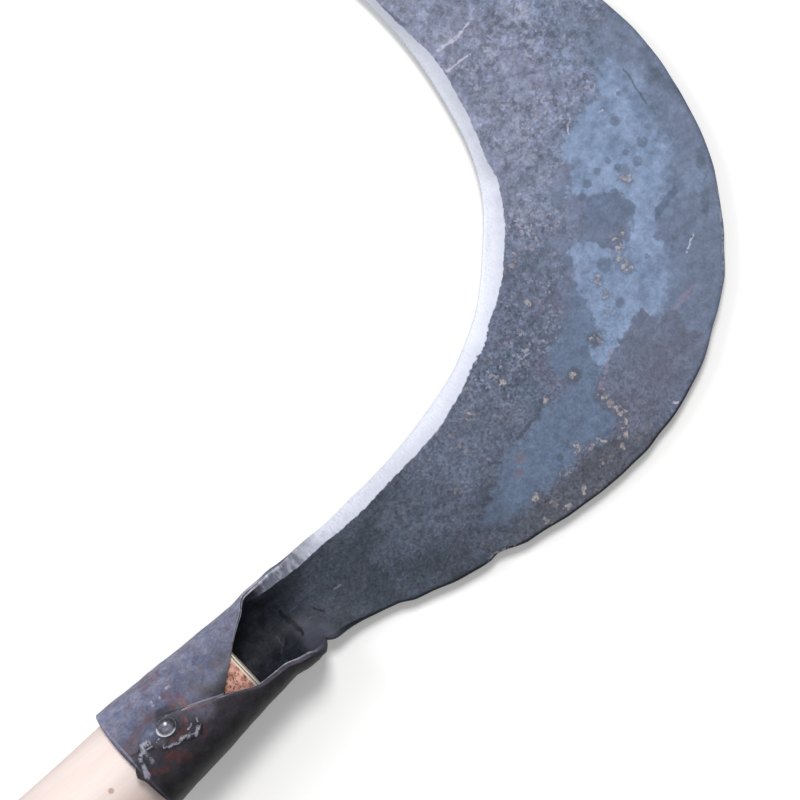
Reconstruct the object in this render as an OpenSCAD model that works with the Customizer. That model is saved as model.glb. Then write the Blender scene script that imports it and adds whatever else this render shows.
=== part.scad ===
/* Hand-forged sickle: a crescent blade whose root is rolled into a handle socket.
   The blade's flat back lies in z = 0 and the ground bevel faces up. +X runs along
   the handle towards the blade, +Y is the cutting side. The origin is on the blade's
   back, on the handle's line, a little in front of the neck. */

/* [Blade curve] */
// Length of the heel, measured along the middle of the blade
heel_len = 80; // [70:1:95]
// How far the heel turns, in degrees
heel_turn = 8; // [4:0.5:14]
// Length of the belly
belly_len = 128; // [110:1:145]
// How far the belly turns
belly_turn = 92.5; // [80:0.5:100]
// Length of the nose
nose_len = 78; // [66:1:90]
// How far the nose turns
nose_turn = 39.5; // [32:0.5:48]
// Length of the bend where the socket meets the blade
neck_len = 14; // [10:1:20]
// How far the neck bends back, away from the cutting side
neck_turn = 9.5; // [5:0.5:14]

/* [Blade widths] */
// Metal at the neck on the cutting side of the middle line, measured along its curl
neck_left = 18; // [16:0.5:21]
// Metal at the neck on the spine side, measured the same way
neck_right = 13.5; // [12:0.5:15]
// Full width one eighth of the way to the tip
width_1 = 36.5; // [32:0.5:42]
// Full width at two eighths
width_2 = 51; // [44:0.5:58]
// Full width at three eighths
width_3 = 66.5; // [58:0.5:74]
// Full width at the middle
width_4 = 72.5; // [64:0.5:80]
// Full width at five eighths
width_5 = 67; // [58:0.5:74]
// Full width at six eighths
width_6 = 55; // [46:0.5:62]
// Full width at seven eighths
width_7 = 31.5; // [26:0.5:38]
// Width left at the blunted tip
tip_w = 1.6; // [1:0.2:3]

/* [Blade section] */
// Thickness of the plate behind the neck
spine_t = 3.0; // [2.4:0.1:4]
// Thickness of the plate at the tip
tip_t = 1.8; // [1.2:0.1:2.4]
// Thickness left at the cutting edge
edge_t = 0.4; // [0.3:0.1:0.8]
// Width of the ground bevel
bevel_w = 4.8; // [3:0.2:7]
// Width of the hammered easing along the spine
ease_w = 1.2; // [0.6:0.2:2]
// Depth of that easing
ease_t = 0.8; // [0.4:0.1:1]

/* [Socket] */
// Length of the socket along its underside, rim to neck
socket_len = 67.5; // [60:0.5:80]
// Outside diameter at the rim
rim_d = 36; // [34:0.5:40]
// Outside diameter at the neck
throat_d = 26; // [24:0.5:30]
// Wall of the socket
wall = 2.2; // [1.8:0.1:2.8]
// Gap left between the overlapping wings
lap_gap = 0.4; // [0.3:0.1:0.8]
// Length of the open mouth behind the neck
mouth_len = 34; // [28:1:38]
// Wrap of the under wing, in degrees from the underside
under_wrap = 210; // [200:1:220]
// Wrap of the over wing along the seam
over_wrap = 184; // [180:1:190]
// Extra wrap of the rounded tab that the nail holds
tab_wrap = 16; // [8:1:22]
// Length of that tab along the seam
tab_len = 20; // [16:1:24]

/* [Handle] */
// Diameter of the grip
grip_d = 32; // [30:0.5:36]
// Length of the handle outside the socket, along its axis
handle_out = 290; // [220:5:400]
// Length over which the wood swells from the rim to the grip
swell_len = 70; // [50:5:100]
// Rounding of the butt
butt_r = 6; // [3:1:10]
// Depth that the tenon reaches into the socket
tenon_len = 42; // [38:1:48]
// Clearance round the tenon at its far end
tenon_fit = 0.3; // [0.2:0.1:0.6]
// Clearance round the wood at the rim
rim_play = 1.0; // [0.6:0.1:1.6]
// Chamfer on the end of the tenon
tenon_chamfer = 1.2; // [0.6:0.2:2]

/* [Nail] */
// Diameter of the nail's shank
nail_d = 3; // [2.4:0.2:4]
// Diameter of its head
head_d = 5.6; // [5:0.2:8]
// Height of the domed head
head_h = 1.8; // [1.2:0.2:2.4]
// Length under the head
nail_len = 16; // [13:1:20]
// Length of the point
point_len = 3; // [2:0.5:4]
// Distance of the nail from the rim, along the underside
nail_from_rim = 14.2; // [12:0.2:18]
// Distance of the nail from the tab's edge, measured along the curl
nail_from_edge = 4.4; // [3.6:0.2:6]
// Clearance all round the shank
nail_fit = 0.1; // [0.05:0.05:0.2]
// Clearance under the head
head_seat = 0.1; // [0.05:0.05:0.3]

/* [Hidden] */
// Distance of the origin from the neck, where the blade is already flat
origin_from_neck = 24;
// The socket's curl starts to open this far behind the neck and is flat this far past it
uncurl_start = -8;
uncurl_end = 20;
// The over wing climbs clear of the under wing between these wraps
climb_start = 95;
climb_end = 145;
// The bevel comes out of the wing's edge between these places, and its edge there is this thick
bevel_start = -4;
bevel_full = 14;
wing_edge_t = 1.5;
// Share of the width that the bevel and the easing may take near the tip
bevel_share = 0.55;
ease_share = 0.25;
// The tab widens only this share of the columns, those next to its edge
tab_share = 0.25;
// Where the under wing reaches its full wrap, in mouth lengths behind the neck
under_full = 1.3;

// Steps along the closed lap, the mouth and the blade, and steps across the plate
lap_steps = 12;
mouth_steps = 15;
blade_steps = 36;
across = 34;
$fn = 48;

R_RIM = rim_d / 2;
R_THROAT = throat_d / 2;
// Angle between the socket's underside and its axis, and length of the axis, rim to neck
tilt = asin((R_RIM - R_THROAT) / socket_len);
axis_len = socket_len * cos(tilt);
blade_len = heel_len + belly_len + nose_len;
// Middle line from the start of the neck: length and turn of each arc
ARCS = [[neck_len, -neck_turn], [heel_len, heel_turn], [belly_len, belly_turn], [nose_len, nose_turn]];
// Half widths at even eighths of the blade
BODY = [width_1, width_2, width_3, width_4, width_5, width_6, width_7, 0] / 2;
LEFT = concat([neck_left], BODY);
RIGHT = concat([neck_right], BODY);
// Edges of the two wings beside the mouth: mouth lengths behind the neck, degrees of wrap
UNDER = [[0, neck_left / R_THROAT * 180 / PI], [0.33, 81], [0.41, 121], [0.6, 145], [0.8, 169],
         [1, 189], [under_full, under_wrap]];
OVER = [[0, neck_right / R_THROAT * 180 / PI], [0.1, 108], [0.19, 136], [0.43, 143], [0.76, 150],
        [1, 169], [1.3, over_wrap]];

function smooth(x) = let (t = min(1, max(0, x))) t * t * (3 - 2 * t);
function mix(a, b, t) = a + (b - a) * t;

// Cubic from a to b with the slopes p and q, for t from 0 to 1
function cubic(a, b, p, q, t) =
    a * (2 * t - 3) * t * t + a + p * (t - 2) * t * t + p * t + b * (3 - 2 * t) * t * t + q * (t - 1) * t * t;

// Smooth curve through evenly spaced values, for x from 0 to 1
function even_curve(v, x) =
    let (n = len(v) - 1, i = min(n - 1, floor(x * n)), a = v[i], b = v[i + 1])
    cubic(a, b, i > 0 ? (b - v[i - 1]) / 2 : b - a, i < n - 1 ? (v[i + 2] - a) / 2 : b - a, x * n - i);

// Straight stretches through [x, value] points, level past both ends
function through(v, x, i = 0) =
    x <= v[0].x ? v[0].y : i == len(v) - 1 ? v[i].y
    : x <= v[i + 1].x ? mix(v[i].y, v[i + 1].y, (x - v[i].x) / (v[i + 1].x - v[i].x)) : through(v, x, i + 1);

// Pose [x, y, heading] after a stretch of an arc that turns by bend degrees per millimetre
function ahead(p, length, bend) =
    let (r = 180 / PI / bend, h = p.z + bend * length)
    [p.x + r * (sin(h) - sin(p.z)), p.y - r * (cos(h) - cos(p.z)), h];
function walk(d, k = 0, p = [-neck_len, 0, 0]) =
    let (bend = ARCS[k][1] / ARCS[k][0])
    d <= ARCS[k][0] || k == len(ARCS) - 1 ? ahead(p, d, bend) : walk(d - ARCS[k][0], k + 1, ahead(p, ARCS[k][0], bend));
// The middle line at s, measured from the neck: straight under the socket, then the arcs
function middle(s) = s <= -neck_len ? [s, 0, 0] : walk(s + neck_len);

// Outside radius of the socket's cone, and the share of that curl left at s
function cone_r(s) = mix(R_RIM, R_THROAT, min(1, 1 + s / socket_len));
function curl(s) = 1 - smooth((s - uncurl_start) / (uncurl_end - uncurl_start));

// Wrap of each wing, in degrees from the underside, at s behind the neck
nail_s = nail_from_rim - socket_len;
function under(s) = through(UNDER, -s / mouth_len);
function over(s) = through(OVER, -s / mouth_len);
// Width that the tab adds beyond the over wing's edge
function tab_w(s) = tab_wrap * PI / 180 * cone_r(s) * smooth(1 - abs(s - nail_s) * 2 / tab_len);

// Half widths of the plate to either side of the middle line, along its outside
function left_w(s) = s < 0 ? under(s) * PI / 180 * cone_r(s) : max(tip_w / 2, even_curve(LEFT, s / blade_len));
function right_w(s) = s < 0 ? over(s) * PI / 180 * cone_r(s) : max(tip_w / 2, even_curve(RIGHT, s / blade_len));

// Distance across the plate of column j: edge, bevel line, even steps, easing line, spine
function column(s, j) =
    let (l = left_w(s), r = right_w(s), b = min(bevel_w, bevel_share * (l + r)), e = min(ease_w, ease_share * (l + r)))
    j == 0 ? l : j == across ? -r - tab_w(s)
    : mix(l - b, e - r, (j - 1) / (across - 2)) - tab_w(s) * max(0, (j / across - 1) / tab_share + 1);

// Thickness of the plate at column j
function plate_t(s) = s < 0 ? mix(wall, spine_t, smooth(1 + s / mouth_len)) : mix(spine_t, tip_t, s / blade_len);
function thickness(s, j) =
    j == 0 ? mix(wing_edge_t, edge_t, smooth((s - bevel_start) / (bevel_full - bevel_start)))
    : j == across ? plate_t(s) - ease_t : plate_t(s);

// Outer and inner point of the curled plate at s, for column j
function skin(s, j) =
    let (m = middle(s), u = column(s, j), c = curl(s), flat = c < 0.001, r = cone_r(s) / max(c, 0.001),
         a = flat ? 0 : u / r * 180 / PI, t = [cos(m.z), sin(m.z), 0], n = [-sin(m.z), cos(m.z), 0],
         v = sin(tilt * c) * t + [0, 0, cos(tilt * c)], inward = cos(a) * v - sin(a) * n,
         climb = (wall + lap_gap) * smooth((-a - climb_start) / (climb_end - climb_start)),
         base = [m.x, m.y, 0] + (flat ? u : r * sin(a)) * n + r * (1 - cos(a)) * v - climb * inward)
    [base, base + thickness(s, j) * inward];

// Places along the plate where a row of points lies
STATIONS = concat(
    [for (i = [0:lap_steps - 1]) mix(-socket_len, -mouth_len, i / lap_steps)],
    [for (i = [0:mouth_steps - 1]) mix(-mouth_len, 0, i / mouth_steps)],
    [for (i = [0:blade_steps]) blade_len * i / blade_steps]);

function quads(a, b, c, d) = [[a, b, c], [a, c, d]];

// The whole plate as one closed skin
module plate() {
    rows = len(STATIONS) - 1;
    pts = [for (s = STATIONS) for (j = [0:across]) each skin(s, j)];
    function o(i, j) = (i * (across + 1) + j) * 2;
    function q(i, j) = o(i, j) + 1;
    faces = concat(
        [for (i = [0:rows - 1]) for (j = [0:across - 1]) each quads(o(i, j), o(i, j + 1), o(i + 1, j + 1), o(i + 1, j))],
        [for (i = [0:rows - 1]) for (j = [0:across - 1]) each quads(q(i, j), q(i + 1, j), q(i + 1, j + 1), q(i, j + 1))],
        [for (i = [0:rows - 1]) each quads(o(i, 0), o(i + 1, 0), q(i + 1, 0), q(i, 0))],
        [for (i = [0:rows - 1]) each quads(o(i, across), q(i, across), q(i + 1, across), o(i + 1, across))],
        [for (j = [0:across - 1]) each quads(o(0, j), q(0, j), q(0, j + 1), o(0, j + 1))],
        [for (j = [0:across - 1]) each quads(o(rows, j), o(rows, j + 1), q(rows, j + 1), q(rows, j))]);
    polyhedron(pts, faces, convexity = 10);
}

// Puts a piece on the socket's axis at the rim, its +Z running out towards the butt
module at_rim() {
    translate([R_RIM * sin(tilt) - socket_len, 0, R_RIM * cos(tilt)])
        rotate([0, tilt - 90, 0])
            children();
}

// Puts a piece on the over wing where the nail goes in, its +Z pointing out of the metal
module at_nail() {
    r = cone_r(nail_s);
    past_top = over_wrap + tab_wrap - nail_from_edge / r * 180 / PI - 180;
    translate([nail_s + r * sin(tilt), 0, r * cos(tilt)])
        rotate([0, tilt, 0])
            rotate([-past_top, 0, 0])
                translate([0, 0, r + wall + lap_gap + head_seat])
                    rotate([0, tilt, 0])
                        children();
}

// Round hole that the nail's shank passes
module nail_hole() {
    at_nail()
        translate([0, 0, -nail_len - nail_fit])
            cylinder(d = nail_d + 2 * nail_fit, h = nail_len + nail_fit + head_h);
}

module forged_head() {
    color([0.36, 0.39, 0.45])
        translate([-origin_from_neck, 0, 0])
            difference() {
                plate();
                nail_hole();
            }
}

// Radius of the wood at the rim and at the end of its tenon
wood_rim_r = R_RIM - wall - rim_play;
tenon_end_r = mix(R_RIM, R_THROAT, tenon_len / axis_len) - wall - tenon_fit;
swell_steps = 10;
butt_steps = 8;
HANDLE_PROFILE = concat(
    [[0, -tenon_len], [tenon_end_r - tenon_chamfer, -tenon_len], [tenon_end_r, tenon_chamfer - tenon_len]],
    [for (i = [0:swell_steps]) [mix(wood_rim_r, grip_d / 2, smooth(i / swell_steps)), swell_len * i / swell_steps]],
    [for (i = [0:butt_steps]) let (a = 90 * i / butt_steps)
        [grip_d / 2 - butt_r * (1 - cos(a)), handle_out - butt_r * (1 - sin(a))]],
    [[0, handle_out]]);

module handle() {
    color([0.90, 0.78, 0.66])
        translate([-origin_from_neck, 0, 0])
            difference() {
                at_rim() rotate_extrude($fn = 72) polygon(HANDLE_PROFILE);
                nail_hole();
            }
}

head_steps = 8;
NAIL_PROFILE = concat(
    [[0, -nail_len], [nail_d / 2, point_len - nail_len], [nail_d / 2, 0]],
    [for (i = [0:head_steps]) let (a = 90 * i / head_steps) [head_d / 2 * cos(a), head_h * sin(a)]]);

module socket_nail() {
    color([0.45, 0.45, 0.48])
        translate([-origin_from_neck, 0, 0])
            at_nail() rotate_extrude() polygon(NAIL_PROFILE);
}

forged_head();
handle();
socket_nail();
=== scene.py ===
# %% [markdown]
# # A hand-forged sickle
# The real tool has three pieces: one forging that is blade, neck and rolled socket, a turned
# wooden handle, and one nail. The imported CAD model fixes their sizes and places. This lesson
# models each piece again over it, with the unevenness of hammer, grindstone and lathe, and
# paints it. +X runs along the handle towards the blade, +Y is the cutting side, +Z is up.

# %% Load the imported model
import math
from types import SimpleNamespace

import bpy
import numpy as np
from mathutils import Matrix, Vector, noise


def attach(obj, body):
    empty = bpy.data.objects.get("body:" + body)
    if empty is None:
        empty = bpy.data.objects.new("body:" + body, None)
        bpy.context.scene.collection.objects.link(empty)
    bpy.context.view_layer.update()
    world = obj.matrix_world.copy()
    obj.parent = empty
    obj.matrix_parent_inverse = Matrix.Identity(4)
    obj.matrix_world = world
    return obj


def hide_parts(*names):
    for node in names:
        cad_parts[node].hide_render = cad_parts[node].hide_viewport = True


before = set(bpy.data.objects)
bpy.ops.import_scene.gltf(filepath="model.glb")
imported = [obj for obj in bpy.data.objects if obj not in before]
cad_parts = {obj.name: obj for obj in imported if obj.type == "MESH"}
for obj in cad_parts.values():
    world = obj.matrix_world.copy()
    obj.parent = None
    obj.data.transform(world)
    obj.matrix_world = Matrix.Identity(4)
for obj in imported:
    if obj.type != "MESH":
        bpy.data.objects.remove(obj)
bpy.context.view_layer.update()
MM = 0.001

# %% [markdown]
# ## The camera and the photograph's pixels
# The sickle lies flat and is seen from straight above, with the handle running down to the
# left. So the camera looks down, and is only turned about the upright axis. One pixel of the
# photograph is 0.3 mm on the blade's face. A helper turns a pixel into a place on the metal,
# so that every spot, scratch and border can be set down where the photograph shows it.

# %% Camera
VIEW_CENTRE = Vector((0.0392, 0.0245, 0))
VIEW_HEIGHT = 0.9
VIEW_TURN = math.radians(43.1)
PIXEL = 0.3 * MM
PIXELS = 800
BLADE_FACE = 2.8 * MM
IMAGE_RIGHT = Vector((math.cos(VIEW_TURN), -math.sin(VIEW_TURN), 0))
IMAGE_UP = Vector((math.sin(VIEW_TURN), math.cos(VIEW_TURN), 0))


def at_pixel(x, y, height=BLADE_FACE):
    """Place in the row frame that shows at a pixel, at that height above the floor"""
    spread = PIXEL * (VIEW_HEIGHT - height) / (VIEW_HEIGHT - BLADE_FACE)
    flat = (IMAGE_RIGHT * (x - PIXELS / 2) + IMAGE_UP * (PIXELS / 2 - y)) * spread
    return VIEW_CENTRE + flat + Vector((0, 0, height))


camera = bpy.data.objects.new("camera", bpy.data.cameras.new("camera"))
bpy.context.scene.collection.objects.link(camera)
camera.location = VIEW_CENTRE + Vector((0, 0, VIEW_HEIGHT))
camera.rotation_euler = (0, 0, -VIEW_TURN)
camera.data.angle = 2 * math.atan(PIXEL * PIXELS / 2 / (VIEW_HEIGHT - BLADE_FACE))
bpy.context.scene.camera = camera
bpy.context.scene.view_settings.view_transform = "Standard"
print("view angle in degrees:", round(math.degrees(camera.data.angle), 2))

# %% [markdown]
# ## Helpers for node materials
# A material is a graph of nodes. Written out in full, each node takes several lines, so one
# helper adds a node, fills its inputs with numbers or with other nodes' outputs, and hands
# back its output. Everything else is said with that helper: sums and products of masks, a
# smooth ramp, and one colour laid over another where a mask is. Colours are given as a
# picture editor shows them, from 0 to 255.

# %% Node helpers
def node(tree, kind, inputs=(), out=0, **settings):
    """Add a node, fill or link its inputs, and return one of its outputs"""
    made = tree.nodes.new("ShaderNode" + kind)
    for name, value in settings.items():
        setattr(made, name, value)
    for key, value in (inputs.items() if isinstance(inputs, dict) else enumerate(inputs)):
        if isinstance(value, bpy.types.NodeSocket):
            tree.links.new(value, made.inputs[key])
        elif value is not None:
            made.inputs[key].default_value = value
    return made.outputs[out]


def calc(tree, operation, *values):
    return node(tree, "Math", values, operation=operation)


def times(tree, product, *values):
    for value in values:
        product = calc(tree, "MULTIPLY", product, value)
    return product


def plus(tree, a, b):
    return calc(tree, "ADD", a, b)


def minus(tree, a, b):
    return calc(tree, "SUBTRACT", a, b)


def larger(tree, a, b):
    return calc(tree, "MAXIMUM", a, b)


def wavering(tree, value, cloud, amount):
    """Value that a cloud moves up and down, half the amount each way"""
    return plus(tree, value, times(tree, minus(tree, cloud, 0.5), amount))


def ramp(tree, value, low, high, start=0.0, end=1.0):
    """Smooth step of a value from start to end while it runs from low to high"""
    return node(tree, "MapRange", (value, low, high, start, end), interpolation_type="SMOOTHSTEP")


# %% Colours
def blend(tree, factor, below, above, how="MIX"):
    return node(tree, "Mix", {0: factor, 6: below, 7: above}, out=2, data_type="RGBA", blend_type=how)


def paint(red, green, blue):
    """Colour of a picture editor, 0 to 255, as the linear colour that nodes use"""
    values = [v / 255 for v in (red, green, blue)]
    return (*[v / 12.92 if v < 0.04045 else ((v + 0.055) / 1.055) ** 2.4 for v in values], 1)


def grey(value):
    return value, value, value, 1


def two_paints(tree, mask, first, second):
    """Colour that runs from one paint to another while a mask runs from 0 to 1"""
    return blend(tree, mask, paint(*first), paint(*second))


def lay(tree, below, mask, share, *colour):
    """Lay a paint over a colour where a mask is, with a share of full cover"""
    return blend(tree, times(tree, mask, share), below, paint(*colour))


# %% Materials
def new_material(name):
    material = bpy.data.materials.new(name)
    material.use_nodes = True
    return material, material.node_tree, material.node_tree.nodes["Principled BSDF"]


def millimetres(tree):
    """Object coordinates in millimetres"""
    place = node(tree, "TexCoord", out="Object")
    return node(tree, "VectorMath", {0: place, "Scale": 1 / MM}, operation="SCALE")


def measure(tree, name):
    """A value that was kept on the mesh"""
    return node(tree, "Attribute", out="Fac", attribute_name=name)


def bump(tree, shader, height, strength, depth):
    """Give the surface a relief of a depth in mm"""
    inputs = {"Height": height, "Strength": strength, "Distance": depth * MM}
    tree.links.new(node(tree, "Bump", inputs), shader.inputs["Normal"])


# %% [markdown]
# ## Shared effects as node groups
# Forge scale, rust, wood and a rubbed nail all need the same few patterns: blotches of a
# given size, grains, round marks, scratches, and borders that wander. Each is a node group
# with named inputs, built once and placed in the materials with its own values. The groups
# put out masks, so each material decides what colour or roughness a mask brings.

# %% Making and placing a group
def new_group(name, inputs, outputs):
    """Empty node group; inputs are (name, kind, value), outputs are names of masks"""
    tree = bpy.data.node_groups.new(name, "ShaderNodeTree")
    for label, kind, value in inputs:
        socket = tree.interface.new_socket(label, in_out="INPUT", socket_type="NodeSocket" + kind)
        socket.default_value = value
    for label in outputs:
        tree.interface.new_socket(label, in_out="OUTPUT", socket_type="NodeSocketFloat")
    return tree, tree.nodes.new("NodeGroupInput").outputs, tree.nodes.new("NodeGroupOutput").inputs


def use(tree, group, inputs, out=0):
    """Place a group in a material and return one of its outputs"""
    made = tree.nodes.new("ShaderNodeGroup")
    made.node_tree = group
    for key, value in inputs.items():
        if isinstance(value, bpy.types.NodeSocket):
            tree.links.new(value, made.inputs[key])
        else:
            made.inputs[key].default_value = value
    return made.outputs[out]


# %% Blotches, grains and wandering borders
def make_mottle():
    tree, given, result = new_group(
        "mottle",
        [("Place", "Vector", (0, 0, 0)), ("Size", "Float", 2), ("Detail", "Float", 3),
         ("Low", "Float", 0.35), ("High", "Float", 0.65)],
        ["Mask"])
    scale = calc(tree, "DIVIDE", 1.0, given["Size"])
    cloud = node(tree, "TexNoise", {"Vector": given["Place"], "Scale": scale, "Detail": given["Detail"]})
    tree.links.new(ramp(tree, cloud, given["Low"], given["High"]), result["Mask"])
    return tree


def make_zone():
    tree, given, result = new_group(
        "zone",
        [("Distance", "Float", 0), ("Place", "Vector", (0, 0, 0)), ("Wander", "Float", 1),
         ("Size", "Float", 3), ("Soft", "Float", 1)],
        ["Mask"])
    scale = calc(tree, "DIVIDE", 1.0, given["Size"])
    cloud = node(tree, "TexNoise", {"Vector": given["Place"], "Scale": scale, "Detail": 4})
    moved = wavering(tree, given["Distance"], cloud, given["Wander"])
    low = times(tree, given["Soft"], -0.5)
    high = times(tree, given["Soft"], 0.5)
    tree.links.new(ramp(tree, moved, low, high), result["Mask"])
    return tree


def make_grain():
    tree, given, result = new_group(
        "grain",
        [("Place", "Vector", (0, 0, 0)), ("Size", "Float", 1), ("Low", "Float", 0.7),
         ("High", "Float", 0.8)],
        ["Tone", "Mask"])
    scale = calc(tree, "DIVIDE", 1.0, given["Size"])
    cell = node(tree, "TexVoronoi", {"Vector": given["Place"], "Scale": scale}, out="Color")
    first = node(tree, "SeparateXYZ", (cell,), out=0)
    second = node(tree, "SeparateXYZ", (cell,), out=1)
    tree.links.new(first, result["Tone"])
    tree.links.new(ramp(tree, second, given["Low"], given["High"]), result["Mask"])
    return tree


# %% Round marks and scratches
def length_of(tree, a, b):
    squares = plus(tree, times(tree, a, a), times(tree, b, b))
    return calc(tree, "POWER", squares, 0.5)


def make_spot():
    tree, given, result = new_group(
        "spot",
        [("X", "Float", 0), ("Y", "Float", 0), ("Centre X", "Float", 0), ("Centre Y", "Float", 0),
         ("Radius", "Float", 1), ("Others", "Float", -9)],
        ["Depth"])
    across = minus(tree, given["X"], given["Centre X"])
    up = minus(tree, given["Y"], given["Centre Y"])
    away = length_of(tree, across, up)
    depth = minus(tree, 1.0, calc(tree, "DIVIDE", away, given["Radius"]))
    tree.links.new(larger(tree, depth, given["Others"]), result["Depth"])
    return tree


def make_scratch():
    tree, given, result = new_group(
        "scratch",
        [("X", "Float", 0), ("Y", "Float", 0), ("Middle X", "Float", 0), ("Middle Y", "Float", 0),
         ("Cosine", "Float", 1), ("Sine", "Float", 0), ("Half", "Float", 1), ("Width", "Float", 0.4),
         ("Others", "Float", 0)],
        ["Mask"])
    across = minus(tree, given["X"], given["Middle X"])
    up = minus(tree, given["Y"], given["Middle Y"])
    reach = plus(tree, times(tree, across, given["Cosine"]), times(tree, up, given["Sine"]))
    beyond = larger(tree, minus(tree, calc(tree, "ABSOLUTE", reach), given["Half"]), 0.0)
    aside = minus(tree, times(tree, up, given["Cosine"]), times(tree, across, given["Sine"]))
    share = calc(tree, "DIVIDE", length_of(tree, beyond, aside), given["Width"])
    tree.links.new(larger(tree, ramp(tree, share, 1.0, 0.4), given["Others"]), result["Mask"])
    return tree


# %% The groups of this lesson
MOTTLE = make_mottle()
GRAIN = make_grain()
ZONE = make_zone()
SPOT = make_spot()
SCRATCH = make_scratch()
print("node groups:", [g.name for g in bpy.data.node_groups])


def grain(tree, place, size, low=0.7, high=0.8, out="Tone"):
    return use(tree, GRAIN, {"Place": place, "Size": size, "Low": low, "High": high}, out)


def mottle(tree, place, size, low=0.35, high=0.65, detail=3):
    return use(tree, MOTTLE, {"Place": place, "Size": size, "Low": low, "High": high, "Detail": detail})


# %% [markdown]
# ## Floor and light
# The photograph has a pure white ground with a soft grey shadow below and to the right. A
# floor that is bright only because of strong lamps would wash out the metal, so the lamps
# stay plain and the floor gives the camera a little light of its own, which lifts the lit
# floor to white and leaves the shadow grey.

# %% Floor
FLOOR_LIFT = 0.15
FLOOR_GAP = 5 * MM


def floor_material():
    material, tree, shader = new_material("white floor")
    seen = node(tree, "LightPath", out="Is Camera Ray")
    mirrored = node(tree, "LightPath", out="Is Glossy Ray")
    tree.links.new(blend(tree, seen, grey(0.5), grey(0.98)), shader.inputs["Base Color"])
    shader.inputs["Roughness"].default_value = 1
    shader.inputs["Specular IOR Level"].default_value = 0
    shader.inputs["Emission Color"].default_value = (1, 1, 1, 1)
    lift = times(tree, larger(tree, seen, mirrored), FLOOR_LIFT)
    tree.links.new(lift, shader.inputs["Emission Strength"])
    return material


bpy.ops.mesh.primitive_plane_add(size=6, location=(0, 0, -FLOOR_GAP))
floor = bpy.context.object
floor.name = "floor"
floor.data.materials.append(floor_material())

# %% [markdown]
# ## Lamps and surroundings
# The key lamp stands above the picture's top edge and casts the soft shadow below the
# sickle. A weak lamp from the left lights the socket's side. The sky is white where the
# camera sees it and dim for the metal, so that the steel keeps its depth.

# %% Lamps and sky
SKY_LIGHT, SKY_SEEN = 0.36, 1.0


def area_lamp(name, right, up, height, size, power, colour):
    """Square lamp at a place given along the image's axes, in metres, aimed at the sickle"""
    lamp = bpy.data.objects.new(name, bpy.data.lights.new(name, "AREA"))
    bpy.context.scene.collection.objects.link(lamp)
    lamp.location = VIEW_CENTRE + IMAGE_RIGHT * right + IMAGE_UP * up + Vector((0, 0, height))
    lamp.rotation_euler = (VIEW_CENTRE - lamp.location).to_track_quat("-Z", "Y").to_euler()
    lamp.data.size = size
    lamp.data.energy = power
    lamp.data.color = colour
    print(name, "at", [round(v, 2) for v in lamp.location])


area_lamp("key_lamp", -0.1, 1.05, 2.3, 0.6, 36, (1.0, 0.99, 0.98))
area_lamp("side_lamp", -1.5, 0.4, 1.5, 0.9, 12, (0.97, 0.98, 1.0))

world = bpy.data.worlds.new("studio")
bpy.context.scene.world = world
world.use_nodes = True
sky = world.node_tree.nodes["Background"]
seen = node(world.node_tree, "LightPath", out="Is Camera Ray")
strength = node(world.node_tree, "MapRange", (seen, 0, 1, SKY_LIGHT, SKY_SEEN))
world.node_tree.links.new(strength, sky.inputs["Strength"])
sky.inputs["Color"].default_value = (1, 1, 1, 1)

# %% [markdown]
# ## The shape of the forging
# The smith starts from one flat plate: a crescent with two wings at its root. The wings are
# rolled up round a cone to make the socket, one over the other, and the plate stays flat in
# the blade. The CAD source says this as a rule: for each place along the plate and across it,
# how far the metal is curled and how thick it is. No modelling operator rolls a cone that
# opens into a flat blade, so this piece follows the rule. The sizes are those of the source,
# in millimetres and degrees, and each function takes whole arrays of points at once.

# %% Sizes of the forging
NECK_LEN, SOCKET_LEN, MOUTH_LEN = 14, 67.5, 34
ARCS = [[NECK_LEN, -9.5], [80, 8], [128, 92.5], [78, 39.5]]
BLADE_LEN = sum(length for length, turn in ARCS[1:])
R_RIM, R_THROAT, WALL, LAP_GAP = 18, 13, 2.2, 0.4
TILT = math.asin((R_RIM - R_THROAT) / SOCKET_LEN)
BODY = [width / 2 for width in (36.5, 51, 66.5, 72.5, 67, 55, 31.5, 0)]
NECK_LEFT, NECK_RIGHT, TIP_W = 18, 13.5, 1.6
SPINE_T, TIP_T, EDGE_T, WING_EDGE_T = 3.0, 1.8, 0.4, 1.5
EASE_W, EASE_T = 1.2, 0.8
UNCURL = (-8, 20)
CLIMB = (95, 145)
BEVEL_RUN = (-4, 14)
ORIGIN_FROM_NECK = 24
# Wrap of the under and the over wing's edges in degrees, at shares of the mouth's length
UNDER = [
    [0, math.degrees(NECK_LEFT / R_THROAT)], [0.33, 81], [0.41, 121], [0.6, 145], [0.8, 169], [1, 189],
    [1.3, 210],
]
OVER = [
    [0, math.degrees(NECK_RIGHT / R_THROAT)], [0.1, 108], [0.19, 136], [0.43, 143], [0.76, 150],
    [1, 169], [1.3, 184],
]


# %% Curves
def smooth(x):
    t = np.clip(x, 0, 1)
    return t * t * (3 - 2 * t)


def mix(a, b, t):
    return a + (b - a) * t


def even_curve(values, x):
    """Smooth curve through evenly spaced values, for x from 0 to 1"""
    stops, count = np.array(values, float), len(values) - 1
    i = np.clip(np.floor(x * count).astype(int), 0, count - 1)
    t, a, b = x * count - i, stops[i], stops[i + 1]
    leaving = np.where(i > 0, (b - stops[np.maximum(i - 1, 0)]) / 2, b - a)
    arriving = np.where(i < count - 1, (stops[np.minimum(i + 2, count)] - a) / 2, b - a)
    cubic = 2 * a - 2 * b + leaving + arriving
    return (cubic * t + 3 * b - 3 * a - 2 * leaving - arriving) * t * t + leaving * t + a


def through(points, x, soften=0.0):
    """Straight stretches through [x, value] points, with their corners rounded off"""
    xs, ys = np.array(points, float).T
    return sum(np.interp(x + k * soften, xs, ys) for k in (-1, -0.5, 0, 0.5, 1)) / 5


# %% The rolling rule
# Below this share of curl the plate counts as flat
LEAST_CURL = 0.001


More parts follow.
